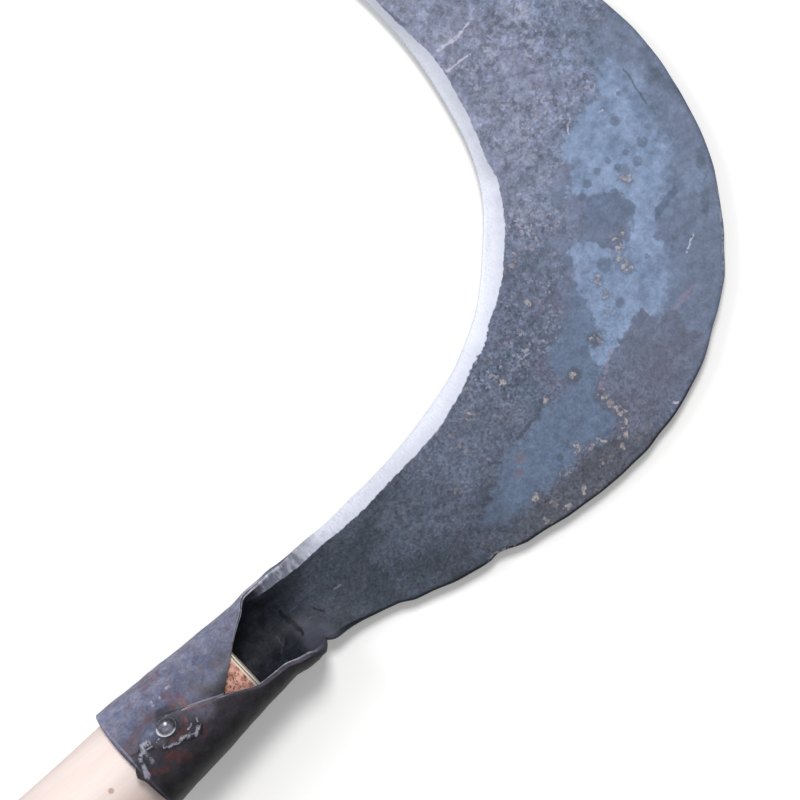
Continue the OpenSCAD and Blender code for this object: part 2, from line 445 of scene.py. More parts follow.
def middle(s):
    """Place and heading of the plate's middle line at s, measured from the neck"""
    x, y, heading = np.minimum(s, -NECK_LEN) + 0.0, np.zeros_like(s), np.zeros_like(s)
    left = np.maximum(s + NECK_LEN, 0)
    for k, (length, turn) in enumerate(ARCS):
        bend = math.radians(turn) / length
        part = left if k == len(ARCS) - 1 else np.minimum(left, length)
        onward = heading + bend * part
        x = x + (np.sin(onward) - np.sin(heading)) / bend
        y = y - (np.cos(onward) - np.cos(heading)) / bend
        heading, left = onward, left - part
    return x, y, heading


def cone_r(s):
    return mix(R_RIM, R_THROAT, np.minimum(1, 1 + s / SOCKET_LEN))


def curl(s):
    return 1 - smooth((s - UNCURL[0]) / (UNCURL[1] - UNCURL[0]))


def rolled(s, u, outward=0.0, inward=0.0):
    """Point of the rolled plate: s along it, u across it, and a depth into the metal"""
    x, y, heading = middle(s)
    curled = curl(s)
    flat = curled < LEAST_CURL
    radius = cone_r(s) / np.maximum(curled, LEAST_CURL)
    angle = np.where(flat, 0, u / radius)
    lean = TILT * curled
    up = np.stack([np.sin(lean) * np.cos(heading), np.sin(lean) * np.sin(heading), np.cos(lean)], -1)
    aside = np.stack([-np.sin(heading), np.cos(heading), np.zeros_like(heading)], -1)
    into = np.cos(angle)[..., None] * up - np.sin(angle)[..., None] * aside
    climb = (WALL + LAP_GAP) * smooth((np.degrees(-angle) - CLIMB[0]) / (CLIMB[1] - CLIMB[0]))
    base = np.stack([x, y, np.zeros_like(x)], -1)
    base = base + np.where(flat, u, radius * np.sin(angle))[..., None] * aside
    base = base + (radius * (1 - np.cos(angle)))[..., None] * up
    return base + (inward - outward - climb)[..., None] * into, np.degrees(angle)


print("blade", BLADE_LEN, "mm along its middle, socket tilted by", round(math.degrees(TILT), 2), "degrees")

# %% [markdown]
# ## Widths, edges and thickness of the plate
# A hand-made edge is never a clean curve. The tab beside the nail is rounded, its corner at
# the rim is worn off, and the ground bevel is wide in the belly and narrow at both ends,
# because the blade was swept over a grindstone. These few lines hold those differences.

# %% Edges of the plate
# Wrap that the over wing's edge has beyond OVER, in degrees, at places along the socket
TAB_EDGE = [
    [-67.6, -16], [-66.9, -9], [-66.2, -1], [-63.7, 2], [-61, 9], [-57.4, 13.5], [-53.3, 16],
    [-50, 10.5], [-46, 3], [-43, 0],
]
BEVEL_W = [
    [-8, 3.2], [0, 3.4], [5, 4.3], [9, 5.0], [20, 4.8], [30, 4.6], [38, 4.3], [45, 4.1], [50, 4.5],
    [58, 5.3], [65, 5.8], [72, 5.0], [85, 4.4], [93, 4.3], [98, 5.2], [101, 5.4], [106, 4.7], [114, 4.8],
    [122, 5.6], [132, 6.3], [145, 6.4], [160, 6.4], [176, 5.8], [182, 5.0], [188, 3.9], [195, 3.6],
    [210, 4.1], [222, 4.5], [232, 4.8], [240, 3.8], [250, 2.4], [286, 2.2],
]
# Millimetres that the hand-made edges lie outside the even outline of the CAD model
CUT_MORE = [
    [-16, 0], [-12, 0.8], [-9, 1.4], [-3, 1.7], [0, 0.9], [3, 0], [6, -0.7], [9, -1.0], [16, -1.1],
    [20, -0.7], [26, 0.2], [30, 0.8], [40, 1.0], [50, 0.8], [60, 0.5], [70, 0.6], [80, 1.2], [90, 1.2],
    [100, 0.7], [110, 0.3], [150, 0.2], [170, 0],
]
SPINE_MORE = [
    [-16, 0], [-12, 1.2], [-9, 1.5], [-6.5, 1.6], [-4, 0.4], [-1.5, -0.5], [0.5, 0.6], [2, 0.9],
    [4, 0.5], [6, -0.2], [9, -1.0], [12, -1.3], [20, -1.2], [24, -1.0], [26, -0.3], [28, 0.4], [34, 0.7],
    [40, 1.5], [48, 1.2], [52, 0.7], [55, -0.4], [58, -0.2], [61, 0.4], [64, 1.0], [70, 0.3], [78, 0],
    [83, -0.4], [88, -0.8], [96, -0.9], [101, -0.5], [105, -0.8], [109, -0.5], [116, -0.3], [121, 0.1],
    [125, -0.1], [130, -0.6], [135, 0], [141, 0.5], [147, -0.1], [150, 0.1], [158, 0], [164, 0.4],
    [178, 0], [183, -0.2], [206, -0.15], [286, -0.2],
]
BEVEL_SHARE, EASE_SHARE, TAB_SHARE = 0.55, 0.25, 0.25


# %% Widths and thickness
def wander(s, size, seed):
    """Slow unevenness along the plate, from -1 to 1"""
    values = [noise.noise(Vector((x / size, seed, 0.5))) for x in np.ravel(s)]
    return np.array(values).reshape(np.shape(s)) * 1.6


def left_width(s):
    socket = np.radians(through(UNDER, -s / MOUTH_LEN, 0.05)) * cone_r(s)
    blade = np.maximum(TIP_W / 2, even_curve([NECK_LEFT] + BODY, np.clip(s / BLADE_LEN, 0, 1)))
    return np.where(s < 0, socket, blade)


def right_width(s):
    socket = np.radians(through(OVER, -s / MOUTH_LEN, 0.04)) * cone_r(s)
    blade = np.maximum(TIP_W / 2, even_curve([NECK_RIGHT] + BODY, np.clip(s / BLADE_LEN, 0, 1)))
    return np.where(s < 0, socket, blade)


def tab_width(s):
    return np.radians(through(TAB_EDGE, s, 0.8)) * cone_r(s)


def bevel_width(s, width):
    ground = through(BEVEL_W, s, 3) * (1 + 0.04 * wander(s, 9, 3) + 0.03 * wander(s, 3, 5))
    return np.minimum(ground, BEVEL_SHARE * width)


def side_shift(s, wrap, from_cut, from_spine):
    """Sideways shift of the metal that brings both edges on to their hand-made outline"""
    cut_side = np.maximum(smooth((wrap - 45) / 35), smooth(1 - from_cut / 7))
    spine_side = np.maximum(smooth((-wrap - 45) / 35), smooth(1 - from_spine / 7))
    return through(CUT_MORE, s, 1) * cut_side - through(SPINE_MORE, s, 0.7) * spine_side


def plate_thickness(s):
    wing = mix(WALL, SPINE_T, smooth(1 + s / MOUTH_LEN))
    return np.where(s < 0, wing, mix(SPINE_T, TIP_T, s / BLADE_LEN))


# %% [markdown]
# ## Rows and columns of the mesh
# The head is a flattened tube: outside skin, rounded spine edge, inside skin, rounded cutting
# edge. So a plain grid becomes the head when its rows run along the plate and its columns
# run once round the section. Rows and columns are close where the metal is busy, at the nail
# and the seam, and wider on the quiet blade. At both ends the skins draw together, and
# merging by distance then closes the shell.

# %% Spacing of the mesh
def spread(stops):
    """Values that run through [start, end, step] stretches"""
    parts = [np.linspace(a, b, max(1, round(abs(b - a) / step)), endpoint=False) for a, b, step in stops]
    return np.append(np.concatenate(parts), stops[-1][1])


def rounding(steps):
    """Share of the half thickness, and of the radius run through, from an edge's middle to its face"""
    turn = np.linspace(0, math.pi / 2, steps + 1)[:-1]
    return np.sin(turn), 1 - np.cos(turn)


END_ROUND, CUT_ROUND, SPINE_ROUND = 0.7, 0.15, 0.55
FINE_W = 13
end_full, end_run = rounding(4)
rows_inner = spread([[-SOCKET_LEN + END_ROUND, -44, 0.6], [-44, 0, 0.85], [0, BLADE_LEN - END_ROUND, 1.1]])
ROWS = np.concatenate([-SOCKET_LEN + END_ROUND * end_run, rows_inner,
                       (BLADE_LEN - END_ROUND * end_run)[::-1]])
ROW_FULL = np.concatenate([end_full, np.ones(len(rows_inner)), end_full[::-1]])


def columns(s):
    """Distances from the cutting edge, one per column, for each row, and the share of full thickness"""
    width = left_width(s) + right_width(s)
    bevel = bevel_width(s, width)
    fine = np.minimum(FINE_W, 0.3 * width)
    cut = np.minimum(CUT_ROUND, 0.05 * width)
    spine = np.minimum(SPINE_ROUND, 0.1 * width)
    full, run = rounding(3)
    stops = [(cut, bevel - 0.12, 6), (bevel - 0.12, bevel + 0.12, 2), (bevel + 0.12, width - fine, 44),
             (width - fine, width - spine, 26)]
    inner = [mix(a, b, t)[:, None] for a, b, n in stops for t in np.arange(n) / n]
    inner.append((width - spine)[:, None])
    near = cut[:, None] * run
    far = (width[:, None] - spine[:, None] * run)[:, ::-1]
    distance = np.concatenate([near, *inner, far], 1)
    share = np.concatenate([full, np.ones(len(inner)), full[::-1]])
    return distance, share, bevel


distance, share, bevel = columns(ROWS)
print("rows", len(ROWS), "columns of one skin", distance.shape[1])

# %% [markdown]
# ## Hammer marks
# Forged metal keeps the marks of the hammer: broad shallow dents over the whole plate, and
# sharper lumps where the wings were closed over the nail and beaten down at the rim. The
# broad ones come from smooth noise, and each lump is a small hill at its own place on the
# curl: millimetres along, degrees of wrap, its two sizes, its turn and its height.

# %% Relief
PLATE_DENTS = [(0.22, 17, 1.3), (0.08, 6, 2.7)]
SOCKET_DENTS = [(0.25, 9, 4.1), (0.1, 3.2, 5.9)]
LUMPS = [
    (-58.3, -190.5, 1.4, 1.1, 0, 0.6), (-51.5, -190.3, 1.3, 1.0, 0, 0.35),
    (-60.9, -186.5, 1.8, 0.6, 35, 0.55), (-62.6, -182.5, 0.6, 1.8, 0, 0.45),
    (-64.5, -182, 1.6, 0.7, -20, 0.4), (-66.2, -172, 0.7, 2.0, 25, 0.6), (-67.0, -167, 1.4, 0.8, 0, 0.4),
    (-63.0, -173, 1.2, 1.0, 0, 0.3), (-48.1, -163.1, 1.5, 0.6, -30, 0.45),
    (-50.3, -166.0, 1.5, 0.6, -25, 0.35), (-52.3, -168.7, 1.3, 0.7, -10, 0.4),
    (-55.6, -170.4, 1.8, 0.6, 0, 0.35), (-46.6, -166.0, 0.8, 0.6, 30, 0.3),
    (-57.5, -176, 1.3, 0.5, 15, 0.3), (-52.6, 145.8, 1.0, 0.7, 25, 0.4),
    (-50.2, 148.5, 0.9, 0.9, 0, 0.45), (-41.8, 146.8, 1.0, 0.8, 0, 0.3),
    (-36.9, 161.6, 0.8, 0.8, 0, 0.3), (-47.5, 150, 2.2, 1.6, 0, -0.35), (-55.5, 152, 2.6, 1.4, 0, -0.25),
]


def dents(points, layers):
    """Sum of smooth noises over points, each with its height, its size and its seed"""
    total = 0
    for height, size, seed in layers:
        offset = Vector((seed, seed * 2, -seed))
        values = [noise.noise(Vector(p) / size + offset) for p in points.reshape(-1, 3)]
        total = total + height * np.array(values).reshape(points.shape[:-1])
    return total


def hills(s, wrap, r):
    """Sum of the lumps, in millimetres, on the outside of the socket"""
    height = np.zeros_like(s)
    for along, degrees, size_s, size_w, turn, tall in LUMPS:
        ds, dw = s - along, np.radians(wrap - degrees) * r
        cosine, sine = math.cos(math.radians(turn)), math.sin(math.radians(turn))
        first, second = (ds * cosine + dw * sine) / size_s, (dw * cosine - ds * sine) / size_w
        height += tall * np.exp(-first ** 2 - second ** 2)
    return height


def rim_bulge(s, wrap):
    """How far the metal near the rim was driven towards the butt"""
    around = 0.9 * np.exp(-((np.abs(wrap) - 165) / 45) ** 2) + 1.1 * np.exp(-((wrap + 173) / 7) ** 2)
    return around * smooth(1 - (s + SOCKET_LEN) / 14)


# %% [markdown]
# ## Modelling the head
# One grid is added with the right number of rows and columns, its vertices are set down by
# the rule above, and merging closes it. The same pass keeps a few measures of each vertex as
# attributes: how far it is along the plate, how far from each edge, how deep inside the
# bevel, and on which skin it lies. The material reads them, so paint follows the metal.

# %% The head's mesh
def deselect():
    for thing in bpy.context.selected_objects:
        thing.select_set(False)


def head_points():
    """Vertices of the head by row and column of the grid, and their measures"""
    count = distance.shape[1]
    order = np.concatenate([np.arange(count), np.arange(count - 2, -1, -1)])
    skin = np.concatenate([np.zeros(count), np.ones(count - 1)])
    s = np.repeat(ROWS[:, None], len(order), 1)
    width = (left_width(ROWS) + right_width(ROWS))[:, None]
    d = distance[:, order]
    last = np.maximum(0, (d / width - 1) / TAB_SHARE + 1)
    tab = tab_width(ROWS)[:, None]
    from_cut = d + tab * last
    from_spine = width + tab - from_cut
    u = left_width(ROWS)[:, None] - from_cut
    full = share[order] * ROW_FULL[:, None]
    ease = np.minimum(EASE_W, EASE_SHARE * width)
    edge_t = mix(WING_EDGE_T, EDGE_T, smooth((s - BEVEL_RUN[0]) / (BEVEL_RUN[1] - BEVEL_RUN[0])))
    thick = mix(edge_t, plate_thickness(s), np.clip(d / bevel[:, None], 0, 1))
    thin = EASE_T * through([[-52, 1], [-44, 0], [-4, 0], [6, 1]], s)
    thick = thick - thin * (1 - np.clip((width - d) / ease, 0, 1)) ** 1.5
    depth = np.where(skin > 0.5, thick - thick / 2 * (1 - full), thick / 2 * (1 - full))
    u = u + 0.12 * wander(s, 5, 11) * (np.abs(from_spine) < 1.5) * (s > -60)
    first, wrap = rolled(s, u, np.zeros_like(s), depth)
    s = s - rim_bulge(s, wrap)
    free = smooth(from_cut / 3) * smooth(from_spine / 3) * full
    beaten = dents(first, PLATE_DENTS) * free * smooth((s + 20) / 30)
    clear = 1 - smooth((wrap - 148) / 8) * (s < -25)
    on_socket = 1 - smooth((s + 8) / 14)
    rough = dents(first, SOCKET_DENTS)
    hill = hills(s, wrap, cone_r(s)) * full * (skin < 0.5)
    outward = (rough * smooth(from_cut / 2) * full * (skin < 0.5) + hill) * on_socket * clear
    points, wrap = rolled(s, u, outward, depth + np.where(skin > 0.5, beaten, 0))
    heading = middle(s)[2]
    aside = np.stack([-np.sin(heading), np.cos(heading), np.zeros_like(heading)], -1)
    points = points + side_shift(s, wrap, from_cut, from_spine)[..., None] * aside
    points = points - np.array([ORIGIN_FROM_NECK, 0, 0])
    points[..., 2] = np.maximum(points[..., 2], 0)
    measures = {"along": s, "from_cut": from_cut, "from_spine": from_spine, "in_bevel": bevel[:, None] - d,
                "skin": mix(0.5, skin, full), "wrap": wrap, "hill": hill}
    return points, measures


def make_head():
    points, measures = head_points()
    rows, cols = points.shape[:2]
    deselect()
    bpy.ops.mesh.primitive_grid_add(x_subdivisions=rows - 1, y_subdivisions=cols - 1, size=1)
    head = bpy.context.object
    head.name = "sickle_head"
    mesh = head.data
    flat = np.zeros(len(mesh.vertices) * 3)
    mesh.vertices.foreach_get("co", flat)
    flat = flat.reshape(-1, 3) + 0.5
    row = np.rint(flat[:, 0] * (rows - 1)).astype(int)
    col = np.rint(flat[:, 1] * (cols - 1)).astype(int)
    mesh.vertices.foreach_set("co", (points[row, col] * MM).ravel())
    for name, values in measures.items():
        layer = mesh.attributes.new(name, "FLOAT", "POINT")
        layer.data.foreach_set("value", np.ascontiguousarray(values[row, col], np.float32))
    bpy.ops.object.mode_set(mode="EDIT")
    bpy.ops.mesh.select_all(action="SELECT")
    bpy.ops.mesh.remove_doubles(threshold=1e-6)
    bpy.ops.mesh.normals_make_consistent(inside=False)
    bpy.ops.object.mode_set(mode="OBJECT")
    bpy.ops.object.shade_smooth_by_angle(angle=math.radians(45))
    return head


head = make_head()
edges_of_faces = np.zeros(len(head.data.loops), int)
head.data.loops.foreach_get("edge_index", edges_of_faces)
print("head:", len(head.data.polygons), "faces, closed:", bool((np.bincount(edges_of_faces) == 2).all()))

# %% [markdown]
# ## Borders of the scale's fields
# The forge scale is patchy: a smooth steel-blue field in the belly, a darker smooth island in
# it, a brown field along the spine. Each border is an outline of a few pixels of the
# photograph. The distance from that outline goes on the mesh as an attribute, and the
# material lets the border wander by a little noise, so that it never looks drawn.

# %% Outlines of the fields
FIELDS = {
    "blue_field": [
        (596, 73), (610, 63), (624, 73), (639, 92), (648, 112), (653, 129), (664, 138), (668, 150),
        (666, 182), (656, 209), (656, 226), (655, 238), (666, 247), (669, 260), (666, 294), (660, 311),
        (652, 319), (643, 308), (636, 312), (620, 340), (606, 365), (596, 366), (588, 345), (596, 325),
        (588, 300), (576, 285), (574, 266), (566, 245), (590, 241), (612, 250), (630, 240), (637, 208),
        (622, 195), (604, 192), (587, 199), (582, 190), (566, 197), (562, 193), (572, 183), (572, 170),
        (562, 152), (563, 138), (579, 116), (600, 96),
    ],
    "slate_field": [
        (572, 286), (600, 300), (606, 365), (599, 380), (598, 397), (611, 411), (618, 417), (611, 431),
        (604, 440), (583, 451), (572, 460), (565, 472), (554, 485), (540, 490), (529, 502), (508, 522),
        (484, 524), (484, 508), (497, 486), (499, 470), (508, 450), (522, 438), (536, 424), (542, 411),
        (561, 392), (570, 383), (548, 366), (547, 345), (566, 320),
    ],
    "island": [
        (587, 199), (594, 195), (606, 193), (618, 195), (631, 200), (636, 206), (634, 216), (629, 222),
        (611, 229), (592, 226), (586, 214),
    ],
    "leaf": [
        (675, 185), (680, 189), (670, 203), (661, 214), (658, 225), (655, 222), (655, 209), (664, 197),
    ],
    "brown_field": [
        (637, 312), (643, 308), (652, 319), (660, 311), (673, 305), (688, 331), (702, 331), (714, 345),
        (705, 372), (694, 400), (676, 424), (660, 440), (636, 440), (618, 417), (611, 411), (600, 392),
        (606, 365), (620, 340),
    ],
    "low_field": [
        (690, 410), (650, 430), (622, 436), (604, 444), (583, 455), (567, 476), (552, 490), (530, 506),
        (512, 530), (440, 560), (430, 600), (520, 560), (600, 510), (680, 440),
    ],
    "speckled": [
        (360, -20), (470, -20), (600, 0), (606, 50), (592, 100), (562, 130), (555, 165), (562, 200),
        (578, 232), (558, 246), (568, 290), (556, 330), (545, 350), (535, 380), (520, 402), (480, 402),
        (462, 390), (480, 350), (497, 300), (503, 240), (500, 190), (480, 140), (455, 95), (430, 60),
        (390, 10),
    ],
}
# Distances outside a field are kept up to this many millimetres
FIELD_REACH = 40


def field_distance(outline, xy):
    """Distance in millimetres from an outline of pixels, positive inside it"""
    ring = np.array([at_pixel(*p)[:2] for p in outline])
    near, inside = np.full(len(xy), 1e9), np.zeros(len(xy), bool)
    for a, b in zip(ring, np.roll(ring, -1, 0)):
        t = np.clip(((xy - a) @ (b - a)) / ((b - a) @ (b - a)), 0, 1)
        near = np.minimum(near, np.linalg.norm(xy - a - t[:, None] * (b - a), axis=1))
        crosses = (a[1] > xy[:, 1]) != (b[1] > xy[:, 1])
        side = (b[0] - a[0]) * (xy[:, 1] - a[1]) / (b[1] - a[1] if b[1] != a[1] else 1) + a[0]
        inside ^= crosses & (xy[:, 0] < side)
    return np.where(inside, near, -near) / MM


def add_field(piece, name, outline):
    co = np.zeros(len(piece.data.vertices) * 3)
    piece.data.vertices.foreach_get("co", co)
    layer = piece.data.attributes.new(name, "FLOAT", "POINT")
    values = np.maximum(field_distance(outline, co.reshape(-1, 3)[:, :2]), -FIELD_REACH)
    layer.data.foreach_set("value", np.ascontiguousarray(values, np.float32))
    print(name, "covers", int((values > 0).sum()), "vertices")


for name, outline in FIELDS.items():
    add_field(head, name, outline)

# %% [markdown]
# ## Round and straight marks
# Drops, crusts, scratches and rust are too small and too shallow for the mesh, so they are
# paint. Each is a round or a straight mark, given by its pixels in the photograph and set
# down on the metal by at_pixel. Every mark is one group node, and the nodes hang in a chain
# that keeps the strongest, so a material gets one mask for all the marks of a kind.

# %% Chains of marks
def spots(tree, place, marks, height=BLADE_FACE):
    """Depth in round marks (x, y, radius in pixels): 1 at a centre, 0 on a rim, less outside"""
    depth = -9.0
    across, up = (node(tree, "SeparateXYZ", (place,), out=k) for k in (0, 1))
    for x, y, radius in marks:
        centre = at_pixel(x, y, height) / MM
        depth = use(tree, SPOT, {"X": across, "Y": up, "Centre X": centre.x, "Centre Y": centre.y,
                                 "Radius": radius * PIXEL / MM, "Others": depth})
    return depth


def lines(tree, place, marks, height=BLADE_FACE):
    """Mask of straight marks, each (from, to, width) in pixels of the photograph"""
    mask = 0.0
    across, up = (node(tree, "SeparateXYZ", (place,), out=k) for k in (0, 1))
    for start, end, width in marks:
        a, b = at_pixel(*start, height) / MM, at_pixel(*end, height) / MM
        half, turn = (b - a) / 2, math.atan2(b.y - a.y, b.x - a.x)
        mask = use(tree, SCRATCH, {"X": across, "Y": up, "Middle X": a.x + half.x, "Middle Y": a.y + half.y,
                                   "Cosine": math.cos(turn), "Sine": math.sin(turn), "Half": half.length,
                                   "Width": width * PIXEL / MM, "Others": mask})
    return mask


# %% [markdown]
# ## What the steel's paint reads
# The head is one piece with one material, but its finish changes along it: scale on the
# blade, soot in the socket, bright metal on the bevel. So the material reads the measures
# that were kept on the mesh, and its place in millimetres. A second, stirred place is pushed
# about by noise, and whatever is drawn on it gets a ragged outline.

# %% Measures of the steel
def zone(tree, place, name, wander, size, soft):
    """Mask of one field, whose border wanders by some millimetres and is more or less soft"""
    return use(tree, ZONE, {"Distance": measure(tree, name), "Place": place, "Wander": wander,
                            "Size": size, "Soft": soft})


def uneven_tone(tree, place, size, amount, detail=2):
    """Brightness that wavers about 1 by some amount, in blotches of a size in mm"""
    cloud = node(tree, "TexNoise", {"Vector": place, "Scale": 1 / size, "Detail": detail})
    return calc(tree, "MULTIPLY_ADD", minus(tree, cloud, 0.5), amount, 1.0)


def steel_measures(tree):
    place = millimetres(tree)
    stir = node(tree, "TexNoise", {"Vector": place, "Scale": 0.6, "Detail": 3}, out="Color")
    stir = node(tree, "VectorMath", (stir, (0.5, 0.5, 0.5)), operation="SUBTRACT")
    stir = node(tree, "VectorMath", {0: stir, "Scale": 1.8}, operation="SCALE")
    stirred = node(tree, "VectorMath", (place, stir), operation="ADD")
    along, from_spine = measure(tree, "along"), measure(tree, "from_spine")
    top = ramp(tree, measure(tree, "skin"), 0.4, 0.6)
    return SimpleNamespace(place=place, stirred=stirred, along=along, from_spine=from_spine, top=top,
                           from_cut=measure(tree, "from_cut"), skin=measure(tree, "skin"),
                           on_socket=ramp(tree, along, 6, -12))


# %% [markdown]
# ## Forge scale
# Hot steel grows a skin of oxide. It is dark at the heel, slate in the belly and purple grey
# in the nose, and the drifts between them are wide and ragged. The fields lie on that ground,
# and a few soft patches make it lighter or darker where the photograph is.

# %% The ground and the fields of the scale
SMEARS = [
    ((455, 497), (415, 512), 8), ((500, 495), (440, 520), 7), ((440, 545), (395, 570), 9),
    ((452, 80), (470, 66), 7), ((550, 36), (566, 60), 7), ((700, 150), (706, 210), 6),
    ((655, 72), (690, 105), 8),
]
# Soft patches of one tone: the share of paint, its colour, and the places
PATCHES = {
    "pale": (0.4, (162, 168, 190), [(516, 12, 24), (444, 36, 16)]),
    "clear": (0.4, (148, 168, 200), [(612, 180, 16), (636, 228, 14), (695, 178, 20), (636, 84, 15),
                                     (560, 60, 16)]),
    "dusk": (0.38, (98, 107, 130), [(468, 86, 15), (492, 132, 17), (513, 86, 22), (488, 82, 16),
                                    (466, 60, 13), (540, 228, 15), (634, 34, 14), (662, 262, 19),
                                    (641, 298, 14)]),
    "shade": (0.38, (60, 64, 78), [(444, 492, 25), (494, 518, 27), (484, 552, 14)]),
}


def scale_ground(tree, at):
    """Colour of the scale, and the mask of the lighter strip beside the bevel"""
    drift = wavering(tree, at.along, mottle(tree, at.place, 22), 26)
    colour = two_paints(tree, ramp(tree, drift, 45, 100), (57, 64, 75), (92, 101, 121))
    colour = lay(tree, colour, ramp(tree, drift, 85, 150), 1.0, 104, 113, 136)
    colour = lay(tree, colour, ramp(tree, drift, 160, 215), 1.0, 126, 133, 158)
    strong = ramp(tree, at.along, 20, 110, 0.4, 1)
    violet = times(tree, strong, mottle(tree, at.place, 9, 0.45, 0.65))
    colour = lay(tree, colour, violet, 0.35, 104, 100, 124)
    teal = times(tree, strong, mottle(tree, at.stirred, 8, 0.5, 0.7))
    colour = lay(tree, colour, teal, 0.35, 86, 108, 126)
    strip = times(tree, ramp(tree, at.from_cut, 32, 20), ramp(tree, at.along, 25, 62),
                  ramp(tree, at.along, 104, 74))
    colour = lay(tree, colour, strip, 0.5, 110, 120, 142)
    nose = times(tree, ramp(tree, at.from_cut, 34, 18), ramp(tree, at.along, 142, 165))
    return lay(tree, colour, nose, 0.45, 142, 149, 173), strip


def scale_fields(tree, at, colour):
    """Colour with the fields laid on it, and the masks of those that the tone reads"""
    slate = zone(tree, at.place, "slate_field", 9, 3, 4)
    colour = lay(tree, colour, slate, 0.75, 99, 116, 143)
    back = times(tree, ramp(tree, at.along, 100, 130), ramp(tree, at.from_spine, 26, 16))
    colour = lay(tree, colour, back, 0.7, 108, 121, 145)
    brown = zone(tree, at.place, "brown_field", 3.5, 3, 0.8)
    brown = times(tree, brown, ramp(tree, at.from_spine, 0, 9, 0.4, 0.9))
    colour = lay(tree, colour, brown, 1.0, 100, 104, 123)
    low = times(tree, zone(tree, at.place, "low_field", 8, 5, 4), ramp(tree, at.along, 45, 75))
    colour = lay(tree, colour, low, 0.75, 82, 84, 94)
    soft = ramp(tree, calc(tree, "MINIMUM", at.from_spine, at.from_cut), 15, 22, 6, 0.9)
    blue = zone(tree, at.place, "blue_field", 5.5, 2.6, soft)
    clean = two_paints(tree, mottle(tree, at.place, 6, 0.3, 0.7), (119, 139, 170), (137, 156, 188))
    around = ramp(tree, measure(tree, "blue_field"), -14, 2, 0, 0.4)
    colour = blend(tree, around, colour, paint(112, 127, 155))
    colour = blend(tree, times(tree, blue, 0.9), colour, clean)
    island = zone(tree, at.place, "island", 1.2, 2, 0.5)
    colour = lay(tree, colour, island, 0.9, 101, 115, 141)
    colour = lay(tree, colour, zone(tree, at.place, "leaf", 0.8, 2, 0.8), 0.9, 90, 103, 128)
    return colour, slate, low, larger(tree, blue, island)


def scale_patches(tree, at, colour):
    colour = lay(tree, colour, lines(tree, at.stirred, SMEARS), 0.3, 58, 66, 80)
    for share, tint, marks in PATCHES.values():
        colour = lay(tree, colour, ramp(tree, spots(tree, at.stirred, marks), 0, 0.8), share, *tint)
    return colour


# %% [markdown]
# ## Grain, crusts and scratches of the scale
# Close up, the scale is a grit of light and dark grains, strong where it is rough and weak on
# the smooth fields. Its tone is a product of clouds of several sizes, and the widest of them
# also lift and sink the surface a little. Then come the marks that can be counted.

# %% The grain and the marks of the scale
DARK_SPOTS = [
    (615.5, 121, 6), (643, 141, 6), (637.6, 161, 5.5), (626, 153, 3.5), (608, 160, 3.5), (618, 167, 3.5),
    (597, 172, 4), (587, 184, 4.5), (618.6, 94, 3), (605, 265, 8), (621, 303, 5.5), (596, 337, 8),
    (585, 352, 6), (577, 372, 7), (573, 382, 6), (672, 248, 3), (648, 256, 2.5), (615, 192, 4),
    (582, 198, 4),
]
TAN_SPOTS = [
    (627, 175, 5), (608, 313, 4), (597, 338, 6), (604, 395, 5), (611, 402, 5), (617, 408, 3),
    (622, 414, 4), (625, 424, 4.5), (626, 434, 3.5), (622, 445, 4), (575, 447, 4.5), (581, 452, 3.5),
    (601, 440, 3.5), (592, 448, 4), (566, 474, 4.5), (560, 481, 3.5), (586, 489, 4.5), (568, 506, 4),
    (546, 520, 4), (535, 497, 3.5), (622, 230, 5), (617, 238, 4), (621, 248, 4), (618, 258, 4),
    (625, 266, 5), (631, 268, 4), (511, 264, 4), (508, 313, 3), (546, 401, 3.5), (572, 375, 4),
    (597, 280, 4), (606, 294, 3.5), (553, 340, 3.5), (503, 382, 4), (470, 415, 4), (528, 303, 3),
]
PITS = [(594, 340, 9), (574, 375, 9), (560, 458, 5)]
BROWN_SPOTS = [(520, 458, 8), (519, 473, 6)]
SCRATCHES = [
    ((471, 18), (462, 31), 1.2), ((462, 31), (453, 41), 1.8), ((453, 40), (438, 50), 2.6),
    ((469, 55), (455, 64), 1.6), ((455, 64), (447, 71), 2.2), ((693, 235), (687, 252), 1.5),
    ((568, 126), (569, 133), 1.2), ((674, 402), (678, 403), 2.2), ((603, 110), (600, 112), 1.6),
]
CRACKS = [
    ((541, 402), (537, 416), 3.0), ((537, 416), (517, 439), 2.4), ((624, 69), (632, 80), 1.4),
    ((632, 80), (646, 104), 1.4), ((382, 7), (404, 25), 2.2), ((490, 463), (500, 462), 2.0),
]
PINK_LINES = [
    ((612, 348), (607, 365), 2.2), ((607, 365), (600, 388), 2.6), ((694, 284), (678, 302), 3.0),
    ((690, 296), (674, 308), 2.4), ((334, 589), (340, 585), 1.6),
]


def scale_tone(tree, at, slate, smooth_fields):
    """Uneven brightness of the scale, the relief that goes with it, and how rough it is"""
    calm = minus(tree, 1.0, times(tree, smooth_fields, 0.8))
    rough = times(tree, zone(tree, at.place, "speckled", 12, 7, 9), calm,
                  ramp(tree, mottle(tree, at.place, 15), 0, 1, 0.6, 1.0))
    amount = plus(tree, ramp(tree, at.along, 130, 200, 0, 0.6), ramp(tree, at.along, 20, 90, 0.2, 0.4))
    broad = uneven_tone(tree, at.stirred, 5.5, amount)
    wide = uneven_tone(tree, at.place, 2.6, ramp(tree, rough, 0, 1, 0.65, 1.3))
    calm = times(tree, larger(tree, slate, ramp(tree, at.along, 100, 130)), 0.25)
    amount = minus(tree, ramp(tree, rough, 0, 1, 0.55, 1.0), calm)
    heel = times(tree, ramp(tree, at.along, 140, 90, 0, 0.45), ramp(tree, slate, 0, 1, 1, 0.3))
    amount = plus(tree, amount, heel)
    fine = uneven_tone(tree, at.place, 0.8, amount, 1)
    cells = minus(tree, grain(tree, at.stirred, 0.75), 0.5)
    cells = calc(tree, "MULTIPLY_ADD", cells, times(tree, amount, 0.55), 1.0)
    relief = times(tree, broad, wide)
    return times(tree, relief, fine, cells), relief, rough


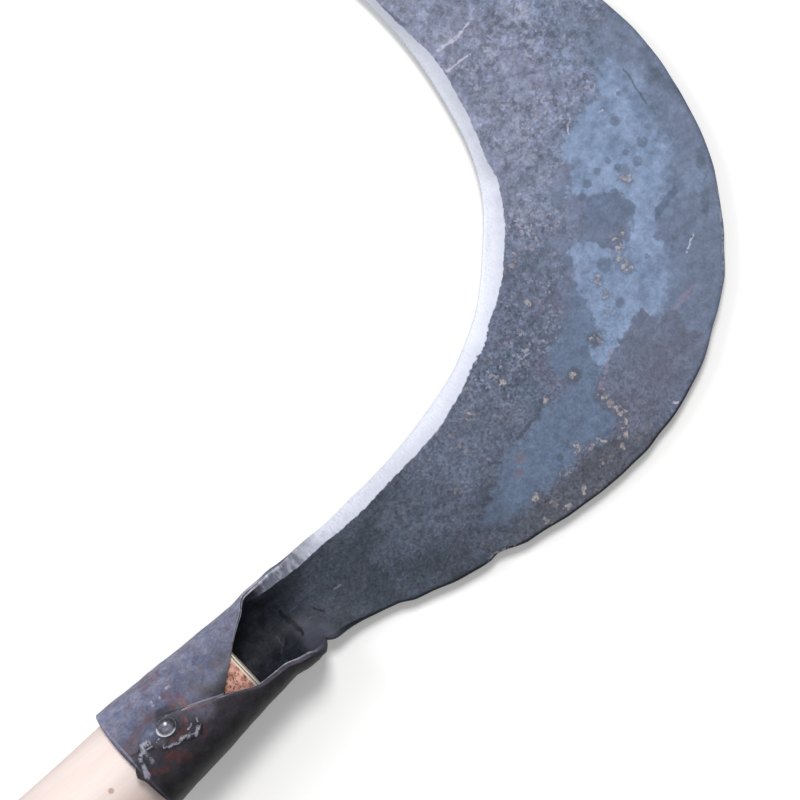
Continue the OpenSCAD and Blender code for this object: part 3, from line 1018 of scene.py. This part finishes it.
def scale_grit(tree, at, colour, rough, low, strip):
    """Colour with dark, light and tan grains, and the mask of the dark ones"""
    dark = grain(tree, at.stirred, 1.3, 0.75, 0.85, "Mask")
    dark = times(tree, dark, ramp(tree, rough, 0, 1, 0.2, 1))
    colour = lay(tree, colour, dark, 0.4, 66, 70, 88)
    light = grain(tree, at.place, 0.8, 0.8, 0.95, "Mask")
    light = times(tree, light, mottle(tree, at.place, 7, 0.42, 0.6), rough)
    colour = lay(tree, colour, light, 0.6, 176, 172, 188)
    tan = grain(tree, at.place, 1.1, 0.84, 0.92, "Mask")
    tan = times(tree, tan, mottle(tree, at.stirred, 5, 0.5, 0.6),
                larger(tree, low, times(tree, larger(tree, rough, strip), 0.6)))
    return lay(tree, colour, tan, 0.5, 170, 158, 154), dark


def scale_marks(tree, at, colour):
    """Colour with all the counted marks, and the mask of the dark drops"""
    dots = times(tree, ramp(tree, spots(tree, at.stirred, DARK_SPOTS), -0.15, 0.25),
                 mottle(tree, at.place, 1.5, 0.2, 0.5))
    colour = lay(tree, colour, dots, 0.6, 86, 97, 118)
    pits = ramp(tree, spots(tree, at.stirred, PITS), 0, 0.35)
    pits = times(tree, pits, mottle(tree, at.place, 1, 0.25, 0.5))
    colour = lay(tree, colour, pits, 0.55, 72, 78, 90)
    brown = ramp(tree, spots(tree, at.stirred, BROWN_SPOTS), -0.1, 0.6)
    colour = lay(tree, colour, brown, 0.4, 122, 104, 108)
    crusts = spots(tree, at.stirred, TAN_SPOTS)
    crusts = wavering(tree, crusts, mottle(tree, at.place, 1.5, 0.3, 0.7, 2), 1.6)
    colour = lay(tree, colour, ramp(tree, crusts, -0.9, -0.1), 0.4, 84, 88, 102)
    colour = lay(tree, colour, ramp(tree, crusts, 0.1, 0.8), 0.38, 168, 160, 160)
    glint = times(tree, ramp(tree, crusts, 0, 0.6), grain(tree, at.stirred, 0.7, 0.55, 0.75, "Mask"))
    colour = lay(tree, colour, glint, 0.4, 204, 194, 188)
    colour = lay(tree, colour, lines(tree, at.stirred, CRACKS), 0.5, 52, 58, 72)
    pink = times(tree, lines(tree, at.stirred, PINK_LINES), mottle(tree, at.place, 1.5, 0.3, 0.6))
    colour = lay(tree, colour, pink, 0.4, 158, 134, 156)
    scratches = times(tree, lines(tree, at.stirred, SCRATCHES), mottle(tree, at.place, 1.2, 0.3, 0.5))
    return lay(tree, colour, scratches, 0.65, 204, 204, 222), dots


def scaled_skin(tree, at):
    """Colour of the forge scale and the height of its relief"""
    colour, strip = scale_ground(tree, at)
    colour, slate, low, smooth_fields = scale_fields(tree, at, colour)
    colour = scale_patches(tree, at, colour)
    tone, relief, rough = scale_tone(tree, at, slate, smooth_fields)
    colour = blend(tree, 1.0, colour, tone, "MULTIPLY")
    colour, dark = scale_grit(tree, at, colour, rough, low, strip)
    colour, dots = scale_marks(tree, at, colour)
    height = times(tree, relief, ramp(tree, rough, 0, 1, 0.6, 1.2))
    return colour, minus(tree, height, times(tree, plus(tree, dots, dark), 0.4))


# %% [markdown]
# ## The outside of the socket
# The rolled wings were heated and hammered the most. Their scale is violet grey, lighter on
# the +Y side as painted light and darker on the -Y side as painted shade, with rust round the
# nail, painted highlights on the ridges where blows folded the skin, painted shadow beside
# them, and a painted highlight where one wing laps over the other. The photograph doesn't
# show the underside, so it stays plain.

# %% Marks on the socket
RUST_HEIGHT, RIDGE_HEIGHT, NAIL_HEIGHT = 39 * MM, 39.5 * MM, 40 * MM
RUST = [
    ((125, 747), (140, 728), 5), ((140, 728), (151, 715), 4), ((176, 698), (187, 708), 5),
    ((181, 715), (183, 732), 4), ((183, 732), (172, 743), 4), ((193, 709), (209, 704), 4),
    ((170, 758), (186, 758), 8), ((136, 693), (147, 686), 5), ((205, 728), (203, 738), 4),
    ((122, 752), (132, 757), 4), ((138, 688), (152, 680), 6), ((162, 697), (172, 707), 6),
    ((152, 773), (165, 771), 4),
]
FRESH_RUST = [((178, 702), (186, 710), 2.8), ((184, 717), (186, 726), 1.6)]
# Painted highlights on the hammered ridges beside the nail
RIDGE_HIGHLIGHTS = [
    ((173, 746.5), (178.5, 743.5), 1.1), ((181, 740), (186, 737), 1.5), ((188, 736), (195, 734.5), 0.9),
    ((197.5, 732), (199, 727), 1.2), ((190, 725), (187.5, 731), 0.9), ((195, 719), (197, 724), 0.8),
    ((164, 748), (170, 747), 1.0), ((145.5, 750.5), (151, 746.5), 1.2),
    ((156.5, 743), (158.5, 740), 1.0), ((148, 705), (151, 708.5), 2), ((157, 700), (158, 702.5), 1.8),
    ((163, 692), (166, 689), 1.1), ((150.5, 734), (153, 733), 2.2),
]
# Painted shadow: dark lines beside the ridges
RIDGE_SHADOWS = [
    ((165, 750.5), (173, 749), 1.4), ((173, 749), (181, 744.5), 1.6), ((183, 742), (197, 738), 1.8),
    ((200, 736), (202, 728), 1.6), ((146, 754), (154, 749), 1.4), ((131, 757), (140, 752), 1.6),
]
# Painted highlight along the over wing's edge where it laps the other wing
SEAM_HIGHLIGHT = [
    ((181, 711.5), (187, 708.4), 1.0), ((187, 708.4), (203, 703), 1.4), ((203, 703), (219, 698.4), 1.4),
    ((219, 698.4), (231, 694.5), 1.8),
]
LAP_SHEEN = [(204, 711, 14)]
NAIL_HALO = [(167, 725, 18), (140, 756, 13)]
NAIL_DISH = [(160, 718, 8), (168, 715, 9)]
BLISTER = [(150, 733, 9)]


# %% Skin of the socket
def socket_ground(tree, at, side):
    """Violet grey towards +Y, the lit side, and painted shade towards -Y down to black, with a painted
    sheen on the lap and darker spots round the nail
    """
    # Lighter towards +Y and darker towards -Y: painted light and painted shade on the cone's two sides
    colour = two_paints(tree, ramp(tree, side, 1, 17), (84, 84, 98), (138, 140, 164))
    lit = ramp(tree, side, -3, 4)
    colour = lay(tree, colour, times(tree, lit, mottle(tree, at.place, 4, 0.42, 0.62)), 0.4, 92, 104, 140)
    colour = lay(tree, colour, times(tree, lit, mottle(tree, at.stirred, 3, 0.5, 0.7)), 0.4, 104, 84, 98)
    # Painted shade on the -Y side, down to black at its far edge
    colour = blend(tree, ramp(tree, side, 5, -4), colour, paint(56, 52, 58))
    colour = blend(tree, ramp(tree, side, -5, -15), colour, paint(16, 16, 16))
    for marks, low, high, share, tint in ((LAP_SHEEN, -0.1, 0.6, 0.4, (122, 118, 140)),
                                          (NAIL_HALO, -0.2, 0.4, 0.45, (36, 34, 42)),
                                          (NAIL_DISH, 0, 0.4, 0.7, (44, 42, 54))):
        mask = ramp(tree, spots(tree, at.stirred, marks, NAIL_HEIGHT), low, high, 0, share)
        colour = blend(tree, mask, colour, paint(*tint))
    return lay(tree, colour, mottle(tree, at.stirred, 3.4, 0.45, 0.62), 0.22, 60, 62, 78)


def socket_skin(tree, at):
    """Colour of the socket's outside"""
    side = wavering(tree, node(tree, "SeparateXYZ", (at.place,), out=1), mottle(tree, at.stirred, 5), 2.5)
    colour = socket_ground(tree, at, side)
    for marks, size, share, tint in ((RUST, 1.6, 0.45, (98, 50, 50)),
                                     (FRESH_RUST, 1.2, 0.5, (140, 82, 78))):
        rust = lines(tree, at.stirred, marks, RUST_HEIGHT)
        colour = lay(tree, colour, times(tree, rust, mottle(tree, at.place, size, 0.3, 0.6)), share, *tint)
    # Painted highlight: a thin bright line just inside the rim, on the lit side only
    rim = ramp(tree, calc(tree, "ABSOLUTE", plus(tree, at.along, SOCKET_LEN - 0.3)), 0.4, 0.2)
    colour = blend(tree, times(tree, rim, ramp(tree, side, -4, 2, 0.1, 0.4)), colour, paint(156, 156, 176))
    tone = times(tree, uneven_tone(tree, at.place, 2.2, 0.6), uneven_tone(tree, at.place, 0.8, 0.8, 1))
    colour = blend(tree, 1.0, colour, tone, "MULTIPLY")
    # Painted shadow beside the ridges
    colour = lay(tree, colour, lines(tree, at.stirred, RIDGE_SHADOWS, RUST_HEIGHT), 0.7, 24, 22, 26)
    # Painted highlights on the ridges and along the lap's edge
    ridge_highlights = lines(tree, at.stirred, RIDGE_HIGHLIGHTS, RIDGE_HEIGHT)
    ridge_highlights = times(tree, ridge_highlights, mottle(tree, at.place, 0.8, 0.3, 0.55))
    ridge_highlights = larger(tree, ridge_highlights, times(tree, lines(tree, at.place, SEAM_HIGHLIGHT, RIDGE_HEIGHT), 0.7))
    colour = lay(tree, colour, ridge_highlights, 0.75, 168, 170, 188)
    # Underside: a plain colour, darker towards -Y as painted shade
    plain = two_paints(tree, ramp(tree, side, -6, 10), (62, 63, 74), (106, 108, 128))
    plain = blend(tree, 1.0, plain, tone, "MULTIPLY")
    below = ramp(tree, node(tree, "SeparateXYZ", (at.place,), out=2), 17, 8)
    return blend(tree, below, colour, plain)


# %% [markdown]
# ## Painted shade in the bore, light and shade on the edges, and the ground bevel
# The inside of the socket is painted dark, as painted shade in the hollow of the roll, and a
# painted shadow runs along the crease where the flat plate starts to curl. The edges get a
# painted highlight along a wing's arris, painted shade in black along the spine, painted
# highlights on the spine's burrs, and white where the grindstone cut through all of the scale.
# So the bevel is laid over everything else.

# %% Inside of the socket
EAR_SHEEN = [((300, 637), (322, 640), 26)]
# Painted shadow in the fold where the plate starts to curl
CREASE_SHADOW = [
    ((280, 612), (288, 619), 2.2), ((288, 619), (294, 624), 4.2), ((294, 624), (299, 629), 4.4),
    ((299, 629), (303, 633), 2), ((314, 608), (324, 610.5), 1.8),
]
WRINKLES = [
    ((302, 626), (311, 617), 1.2), ((303, 634), (313, 630), 1.2), ((276, 636), (283, 645), 1.4),
    ((284, 641), (281, 652), 1.2), ((290, 612), (297, 606), 1.2),
]


def shaded_bore(tree, at, colour):
    # Painted shade inside the roll: a dark mottled paint on the inner skin, growing towards the socket
    painted_shade = two_paints(tree, mottle(tree, at.stirred, 3.2, 0.3, 0.7), (28, 30, 36), (44, 48, 58))
    painted_shade = blend(tree, 1.0, painted_shade, uneven_tone(tree, at.place, 0.9, 1.2, 1), "MULTIPLY")
    colour = blend(tree, times(tree, ramp(tree, at.along, 12, -12), at.top), colour, painted_shade)
    sheen = times(tree, lines(tree, at.stirred, EAR_SHEEN), at.top, ramp(tree, at.along, -9, -5, 0, 0.5))
    colour = blend(tree, sheen, colour, paint(92, 92, 108))
    colour = lay(tree, colour, times(tree, lines(tree, at.stirred, WRINKLES), at.top), 0.35, 88, 94, 108)
    # Painted shadow along the crease
    crease_shadow = times(tree, lines(tree, at.stirred, CREASE_SHADOW), at.top, ramp(tree, at.along, -15, -11, 0, 0.85))
    return blend(tree, crease_shadow, colour, paint(12, 15, 24))


# %% Edges and bevel
def between(tree, value, start, end, soft):
    """Mask of a stretch of values, with soft ends that lie inside it"""
    return times(tree, ramp(tree, value, start, start + soft), ramp(tree, value, end, end - soft))


def edge_light_and_shade(tree, at, colour):
    # Wing edges: a grey band with a painted highlight on its bright side
    wing_edge_band = times(tree, ramp(tree, at.skin, 0.03, 0.2), ramp(tree, at.skin, 0.99, 0.9),
                 ramp(tree, at.along, -2, -12, 0.2, 1), at.on_socket)
    wing_edge_band = times(tree, wing_edge_band, ramp(tree, mottle(tree, at.place, 2), 0, 1, 0.5, 1))
    highlight_side = times(tree, ramp(tree, at.from_cut, 3, 1.5), ramp(tree, at.skin, 0.5, 0.25))
    highlight_side = larger(tree, highlight_side, ramp(tree, at.skin, 0.5, 0.8))
    colour = blend(tree, wing_edge_band, colour, two_paints(tree, highlight_side, (80, 76, 88), (204, 202, 220)))
    # Painted shade: a black line along the spine's edge of the blade
    painted_shade = times(tree, ramp(tree, at.from_spine, 1.0, 0.5), ramp(tree, at.along, 2, 10),
                 ramp(tree, at.along, 128, 112))
    colour = lay(tree, colour, painted_shade, 0.9, 20, 21, 25)
    burred = larger(tree, between(tree, at.along, 136, 162, 6), between(tree, at.along, 50, 63, 4))
    # Light specks on the rough spine: burrs with painted highlights
    burr_highlight = times(tree, ramp(tree, at.from_spine, 1.4, 0.4), mottle(tree, at.place, 1.2, 0.45, 0.6), burred)
    return lay(tree, colour, burr_highlight, 0.7, 176, 176, 186)


def ground_metal(tree, at):
    """Metal that the grindstone left, with its marks across, dull and patchy towards the neck"""
    metal = two_paints(tree, mottle(tree, at.place, 0.7, 0.3, 0.75, 2), (228, 232, 244), (216, 220, 234))
    inner = ramp(tree, measure(tree, "in_bevel"), 4.5, 0.3, 0, 0.7)
    metal = blend(tree, inner, metal, paint(196, 200, 216))
    drawn = node(tree, "VectorMath", (at.place, (1.6, 0.5, 1)), operation="MULTIPLY")
    streaks = times(tree, mottle(tree, drawn, 1.2, 0.45, 0.7, 2), ramp(tree, at.along, 50, 15, 0.12, 0.4))
    metal = blend(tree, streaks, metal, paint(160, 164, 184))
    patchy = ramp(tree, mottle(tree, drawn, 2.2, 0.35, 0.6), 0, 1, 0.55, 1)
    dull = times(tree, ramp(tree, at.along, 20, 4), patchy)
    return blend(tree, dull, metal, paint(124, 125, 143))


def bevel_mask(tree, at):
    """Where the stone has cut; its border is more ragged in the belly"""
    ragged = ramp(tree, between(tree, at.along, 80, 114, 8), 0, 1, 0.8, 2.6)
    mask = zone(tree, at.place, "in_bevel", ragged, 1.4, 0.35)
    return times(tree, mask, at.top, ramp(tree, at.along, -10, -5))


# %% [markdown]
# ## The whole steel
# Scale is a dull coat and bare steel is bright metal, so metallic and roughness follow the
# same masks as the colour. The lumps that were hammered beside the nail get a painted
# highlight on their tops, which the mesh knows from the height of each lump.

# %% Forged steel
def forged_steel():
    material, tree, shader = new_material("forged_steel")
    at = steel_measures(tree)
    colour, height = scaled_skin(tree, at)
    outside = times(tree, at.on_socket, minus(tree, 1.0, at.top))
    colour = blend(tree, outside, colour, socket_skin(tree, at))
    colour = edge_light_and_shade(tree, at, shaded_bore(tree, at, colour))
    bevel = bevel_mask(tree, at)
    colour = blend(tree, bevel, colour, ground_metal(tree, at))

    blister = ramp(tree, spots(tree, at.stirred, BLISTER, RUST_HEIGHT), 0, 0.2)
    colour = lay(tree, colour, times(tree, outside, blister), 0.6, 84, 92, 120)
    # Painted highlight on the tops of the hammered lumps
    crest_highlight = ramp(tree, measure(tree, "hill"), 0.14, 0.36)
    crest_highlight = times(tree, crest_highlight, mottle(tree, at.place, 0.9, 0.3, 0.55), ramp(tree, blister, 0, 1, 1, 0.15))
    colour = lay(tree, colour, crest_highlight, 0.7, 172, 172, 188)
    tree.links.new(colour, shader.inputs["Base Color"])

    bare = larger(tree, bevel, times(tree, crest_highlight, 0.7))
    dull = blend(tree, at.on_socket, grey(0.55), grey(0.42))
    tree.links.new(blend(tree, bare, dull, grey(0.36)), shader.inputs["Roughness"])
    tree.links.new(times(tree, bare, 0.12), shader.inputs["Metallic"])
    shader.inputs["Specular IOR Level"].default_value = 0.2
    height = times(tree, height, minus(tree, 1.0, times(tree, bevel, 0.9)))
    bump(tree, shader, height, 0.5, 0.15)
    return material


head.data.materials.append(forged_steel())
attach(head, "root")
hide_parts("forged_head")
print("forged steel:", len(head.data.materials[0].node_tree.nodes), "nodes")

# %% [markdown]
# ## Turned pieces
# The handle came off a lathe and the nail was headed in a round die, so both are rings about
# an axis. A circle is added at one end, and each step of the profile extrudes it along the
# axis and resizes it. The piece is modelled upright at the world's origin, then turned and
# moved to its place, and that placing is applied to the mesh.

# %% Turning helper
def turned(name, profile, sides):
    """Closed upright piece from [radius, distance along the axis] steps, in mm"""
    deselect()
    (radius, start), *steps = profile
    bpy.ops.mesh.primitive_circle_add(vertices=sides, radius=radius * MM, location=(0, 0, start * MM),
                                      fill_type="NGON")
    piece = bpy.context.object
    piece.name = name
    bpy.ops.object.transform_apply(location=True)
    bpy.ops.object.mode_set(mode="EDIT")
    bpy.ops.mesh.select_mode(type="EDGE")
    bpy.ops.mesh.select_all(action="SELECT")
    bpy.ops.mesh.poke()
    bpy.ops.mesh.select_all(action="DESELECT")
    bpy.ops.mesh.select_non_manifold()
    for next_radius, next_start in steps:
        step, grown = (0, 0, (next_start - start) * MM), next_radius / radius
        bpy.ops.mesh.extrude_edges_move(TRANSFORM_OT_translate={"value": step})
        bpy.ops.transform.resize(value=(grown, grown, 1), center_override=(0, 0, next_start * MM))
        radius, start = next_radius, next_start
    bpy.ops.mesh.edge_face_add()
    bpy.ops.mesh.poke()
    bpy.ops.mesh.select_all(action="SELECT")
    bpy.ops.mesh.normals_make_consistent(inside=False)
    bpy.ops.object.mode_set(mode="OBJECT")
    print(name, "has", len(piece.data.polygons), "faces")
    return piece


def put_in_place(piece, placing, smooth_angle):
    piece.matrix_world = placing
    bpy.ops.object.transform_apply(location=True, rotation=True, scale=True)
    bpy.ops.object.shade_smooth_by_angle(angle=math.radians(smooth_angle))


# %% [markdown]
# ## The handle
# It is pale bare wood. Inside the socket it tapers with the cone and ends in a small
# chamfer, which shows through the open mouth as a pale strip. Outside, it swells to the
# grip and runs out of the picture, to a rounded butt.

# %% The handle
GRIP_R, HANDLE_OUT, SWELL_LEN, BUTT_R = 16, 290, 70, 6
TENON_LEN, TENON_FIT, RIM_PLAY, CHAMFER = 42, 0.3, 1.0, 1.2
AXIS_LEN = SOCKET_LEN * math.cos(TILT)
WOOD_RIM_R = R_RIM - WALL - RIM_PLAY
TENON_END_R = mix(R_RIM, R_THROAT, TENON_LEN / AXIS_LEN) - WALL - TENON_FIT


def on_cone(s, radius):
    """Translation to the cone's axis, at the place s along the plate where its radius is given"""
    along = s + radius * math.sin(TILT) - ORIGIN_FROM_NECK
    return Matrix.Translation(Vector((along, 0, radius * math.cos(TILT))) * MM)


AT_RIM = on_cone(-SOCKET_LEN, R_RIM) @ Matrix.Rotation(TILT - math.pi / 2, 4, "Y")


def handle_profile():
    taper = [(mix(TENON_END_R, WOOD_RIM_R, t), mix(CHAMFER - TENON_LEN, 0, t))
             for t in np.linspace(0, 1, 13)]
    swell = [(mix(WOOD_RIM_R, GRIP_R, smooth(t)), SWELL_LEN * t) for t in np.linspace(0, 1, 19)[1:]]
    grip = [(GRIP_R, mix(SWELL_LEN, HANDLE_OUT - BUTT_R, t)) for t in np.linspace(0, 1, 55)[1:]]
    butt = [(GRIP_R - BUTT_R * (1 - math.cos(a)), HANDLE_OUT - BUTT_R * (1 - math.sin(a)))
            for a in np.linspace(0, math.pi / 2, 9)[1:]]
    return [(TENON_END_R - CHAMFER, -TENON_LEN)] + taper + swell + grip + butt


handle = turned("sickle_handle", handle_profile(), 96)
put_in_place(handle, AT_RIM, 35)

# %% [markdown]
# ## Bare wood
# Fibres run along the handle, so the noise is drawn out along its axis. One small knot
# shows. Inside the socket the tenon is stained by the steel and pitted, up to the clean
# strip where its end was chamfered.

# %% Bare wood
KNOT = [(109.6, 793, 3.2)]
HANDLE_TOP = 38 * MM


def grip_colour(tree, place, fibre, rings):
    colour = two_paints(tree, times(tree, rings, 0.28), (248, 233, 229), (232, 209, 200))
    colour = lay(tree, colour, fibre, 0.12, 222, 196, 182)
    side = node(tree, "SeparateXYZ", (place,), out=1)
    # Darker towards -Y: painted shade on that side of the handle
    colour = blend(tree, ramp(tree, side, 2, -14, 0, 0.45), colour, paint(205, 176, 160))
    knot = ramp(tree, spots(tree, place, KNOT, HANDLE_TOP), -0.2, 0.4, 0, 0.6)
    return blend(tree, knot, colour, paint(158, 112, 92))


def tenon_colour(tree, place, past_rim):
    stain = two_paints(tree, mottle(tree, place, 1.4, 0.38, 0.62), (232, 184, 166), (186, 122, 106))
    stain = lay(tree, stain, mottle(tree, place, 0.9, 0.58, 0.66, 1), 0.8, 90, 46, 42)
    strip = ramp(tree, past_rim, CHAMFER - TENON_LEN + 0.15, CHAMFER - TENON_LEN)
    groove = calc(tree, "ABSOLUTE", plus(tree, past_rim, TENON_LEN - CHAMFER / 2))
    clean = two_paints(tree, ramp(tree, groove, 0.22, 0.1), (244, 234, 216), (146, 122, 106))
    return blend(tree, strip, stain, clean)


def bare_wood():
    material, tree, shader = new_material("bare_wood")
    place = millimetres(tree)
    axis = node(tree, "Mapping", {"Vector": place, "Rotation": (0, TILT, 0)})
    drawn = node(tree, "VectorMath", (axis, (0.035, 1, 1)), operation="MULTIPLY")
    fibre = mottle(tree, drawn, 0.9, 0.3, 0.7, 4)
    colour = grip_colour(tree, place, fibre, mottle(tree, drawn, 4.5, 0.35, 0.65))
    rim, pole = AT_RIM.to_translation() / MM, AT_RIM.to_3x3().col[2]
    past_rim = node(tree, "VectorMath", (place, rim), operation="SUBTRACT")
    past_rim = node(tree, "VectorMath", (past_rim, pole), out="Value", operation="DOT_PRODUCT")
    colour = blend(tree, ramp(tree, past_rim, -1, -3), colour, tenon_colour(tree, place, past_rim))
    tree.links.new(colour, shader.inputs["Base Color"])
    shader.inputs["Roughness"].default_value = 0.6
    bump(tree, shader, fibre, 0.15, 0.08)
    return material


handle.data.materials.append(bare_wood())
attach(handle, "root")
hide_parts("handle")

# %% [markdown]
# ## The nail
# One round-headed nail goes through both wings into the wood. Its head is a low dome that
# the hammer has spread into a slight oval, so the round head is stretched before the nail is
# turned to the cone's slope and the wings' lap. How far each vertex lies from the head's
# centre, and how far to its low side, stay on the mesh for the material.

# %% The nail
NAIL_D, HEAD_D, HEAD_H, NAIL_LEN, POINT_LEN = 3, 5.6, 1.8, 16, 3
NAIL_FROM_RIM, NAIL_FROM_EDGE, OVER_WRAP, TAB_WRAP, HEAD_SEAT = 14.2, 4.4, 184, 16, 0.1
SPREAD_ALONG, SPREAD_ACROSS = 1.2, 0.98
LOW_SIDE = Vector((-0.7, -0.7))
NAIL_S = NAIL_FROM_RIM - SOCKET_LEN
NAIL_R = float(cone_r(np.array(NAIL_S)))
PAST_TOP = math.radians(OVER_WRAP + TAB_WRAP - 180) - NAIL_FROM_EDGE / NAIL_R
SEAT_R = NAIL_R + WALL + LAP_GAP + HEAD_SEAT
AT_NAIL = (on_cone(NAIL_S, NAIL_R) @ Matrix.Rotation(TILT, 4, "Y") @ Matrix.Rotation(-PAST_TOP, 4, "X")
           @ Matrix.Translation(Vector((0, 0, SEAT_R)) * MM) @ Matrix.Rotation(TILT, 4, "Y"))


def nail_profile():
    shank, head, edge = NAIL_D / 2, HEAD_D / 2, 0.66
    point = [(0.15, -NAIL_LEN), (shank, POINT_LEN - NAIL_LEN), (shank, -0.1), (shank + 0.1, 0)]
    rim = [(head - 0.15, 0), (head, 0.15), (head, 0.4), (head - 0.12, 0.6), (head - 0.45, edge)]
    dome = [((head - 0.45) * math.cos(a) ** 0.7, edge + (HEAD_H - edge) * math.sin(a))
            for a in np.linspace(0.25, 1.5, 10)]
    return point + rim + dome


def keep_places_on_head(piece):
    for name in ("from_centre", "low_side"):
        layer = piece.data.attributes.new(name, "FLOAT", "POINT")
        for vertex in piece.data.vertices:
            flat = vertex.co.xy / (HEAD_D / 2 * MM)
            layer.data[vertex.index].value = flat.length if name == "from_centre" else flat.dot(LOW_SIDE)


def spread_head(piece):
    """Stretch the head from a round one to an oval, as a hammer does"""
    for vertex in piece.data.vertices:
        vertex.select = vertex.co.z > -0.05 * MM
    bpy.ops.object.mode_set(mode="EDIT")
    bpy.ops.mesh.select_mode(type="VERT")
    bpy.ops.transform.resize(value=(SPREAD_ALONG, SPREAD_ACROSS, 1), center_override=(0, 0, 0))
    bpy.ops.object.mode_set(mode="OBJECT")


nail = turned("sickle_nail", nail_profile(), 48)
keep_places_on_head(nail)
spread_head(nail)
put_in_place(nail, AT_NAIL, 40)

# %% [markdown]
# ## Steel of the nail
# Dark like the socket, with a painted highlight: a bright crescent on the head's low side and
# one bright spot near its middle.

# %% Nail steel
NAIL_GLINT = [(164.5, 724.5, 2.2)]


def nail_steel():
    material, tree, shader = new_material("nail_steel")
    place = millimetres(tree)
    colour = two_paints(tree, mottle(tree, place, 1.6, 0.35, 0.65), (66, 66, 78), (112, 112, 128))
    from_centre, low = measure(tree, "from_centre"), measure(tree, "low_side")
    colour = blend(tree, ramp(tree, low, 0.1, -0.45, 0, 0.8), colour, paint(40, 38, 50))
    # Painted highlights: a bright crescent on the low side of the head and a glint near its middle
    nail_highlight = times(tree, ramp(tree, from_centre, 0.68, 0.84), ramp(tree, low, 0.05, 0.45))
    glint = ramp(tree, spots(tree, place, NAIL_GLINT, NAIL_HEIGHT), 0.1, 0.5)
    nail_highlight = times(tree, larger(tree, nail_highlight, glint), mottle(tree, place, 0.8, 0.2, 0.45))
    tree.links.new(blend(tree, nail_highlight, colour, paint(206, 206, 220)), shader.inputs["Base Color"])
    shader.inputs["Metallic"].default_value = 0.15
    shader.inputs["Roughness"].default_value = 0.42
    bump(tree, shader, mottle(tree, place, 0.9, 0.2, 0.8), 0.5, 0.2)
    return material


nail.data.materials.append(nail_steel())
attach(nail, "root")
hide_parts("socket_nail")
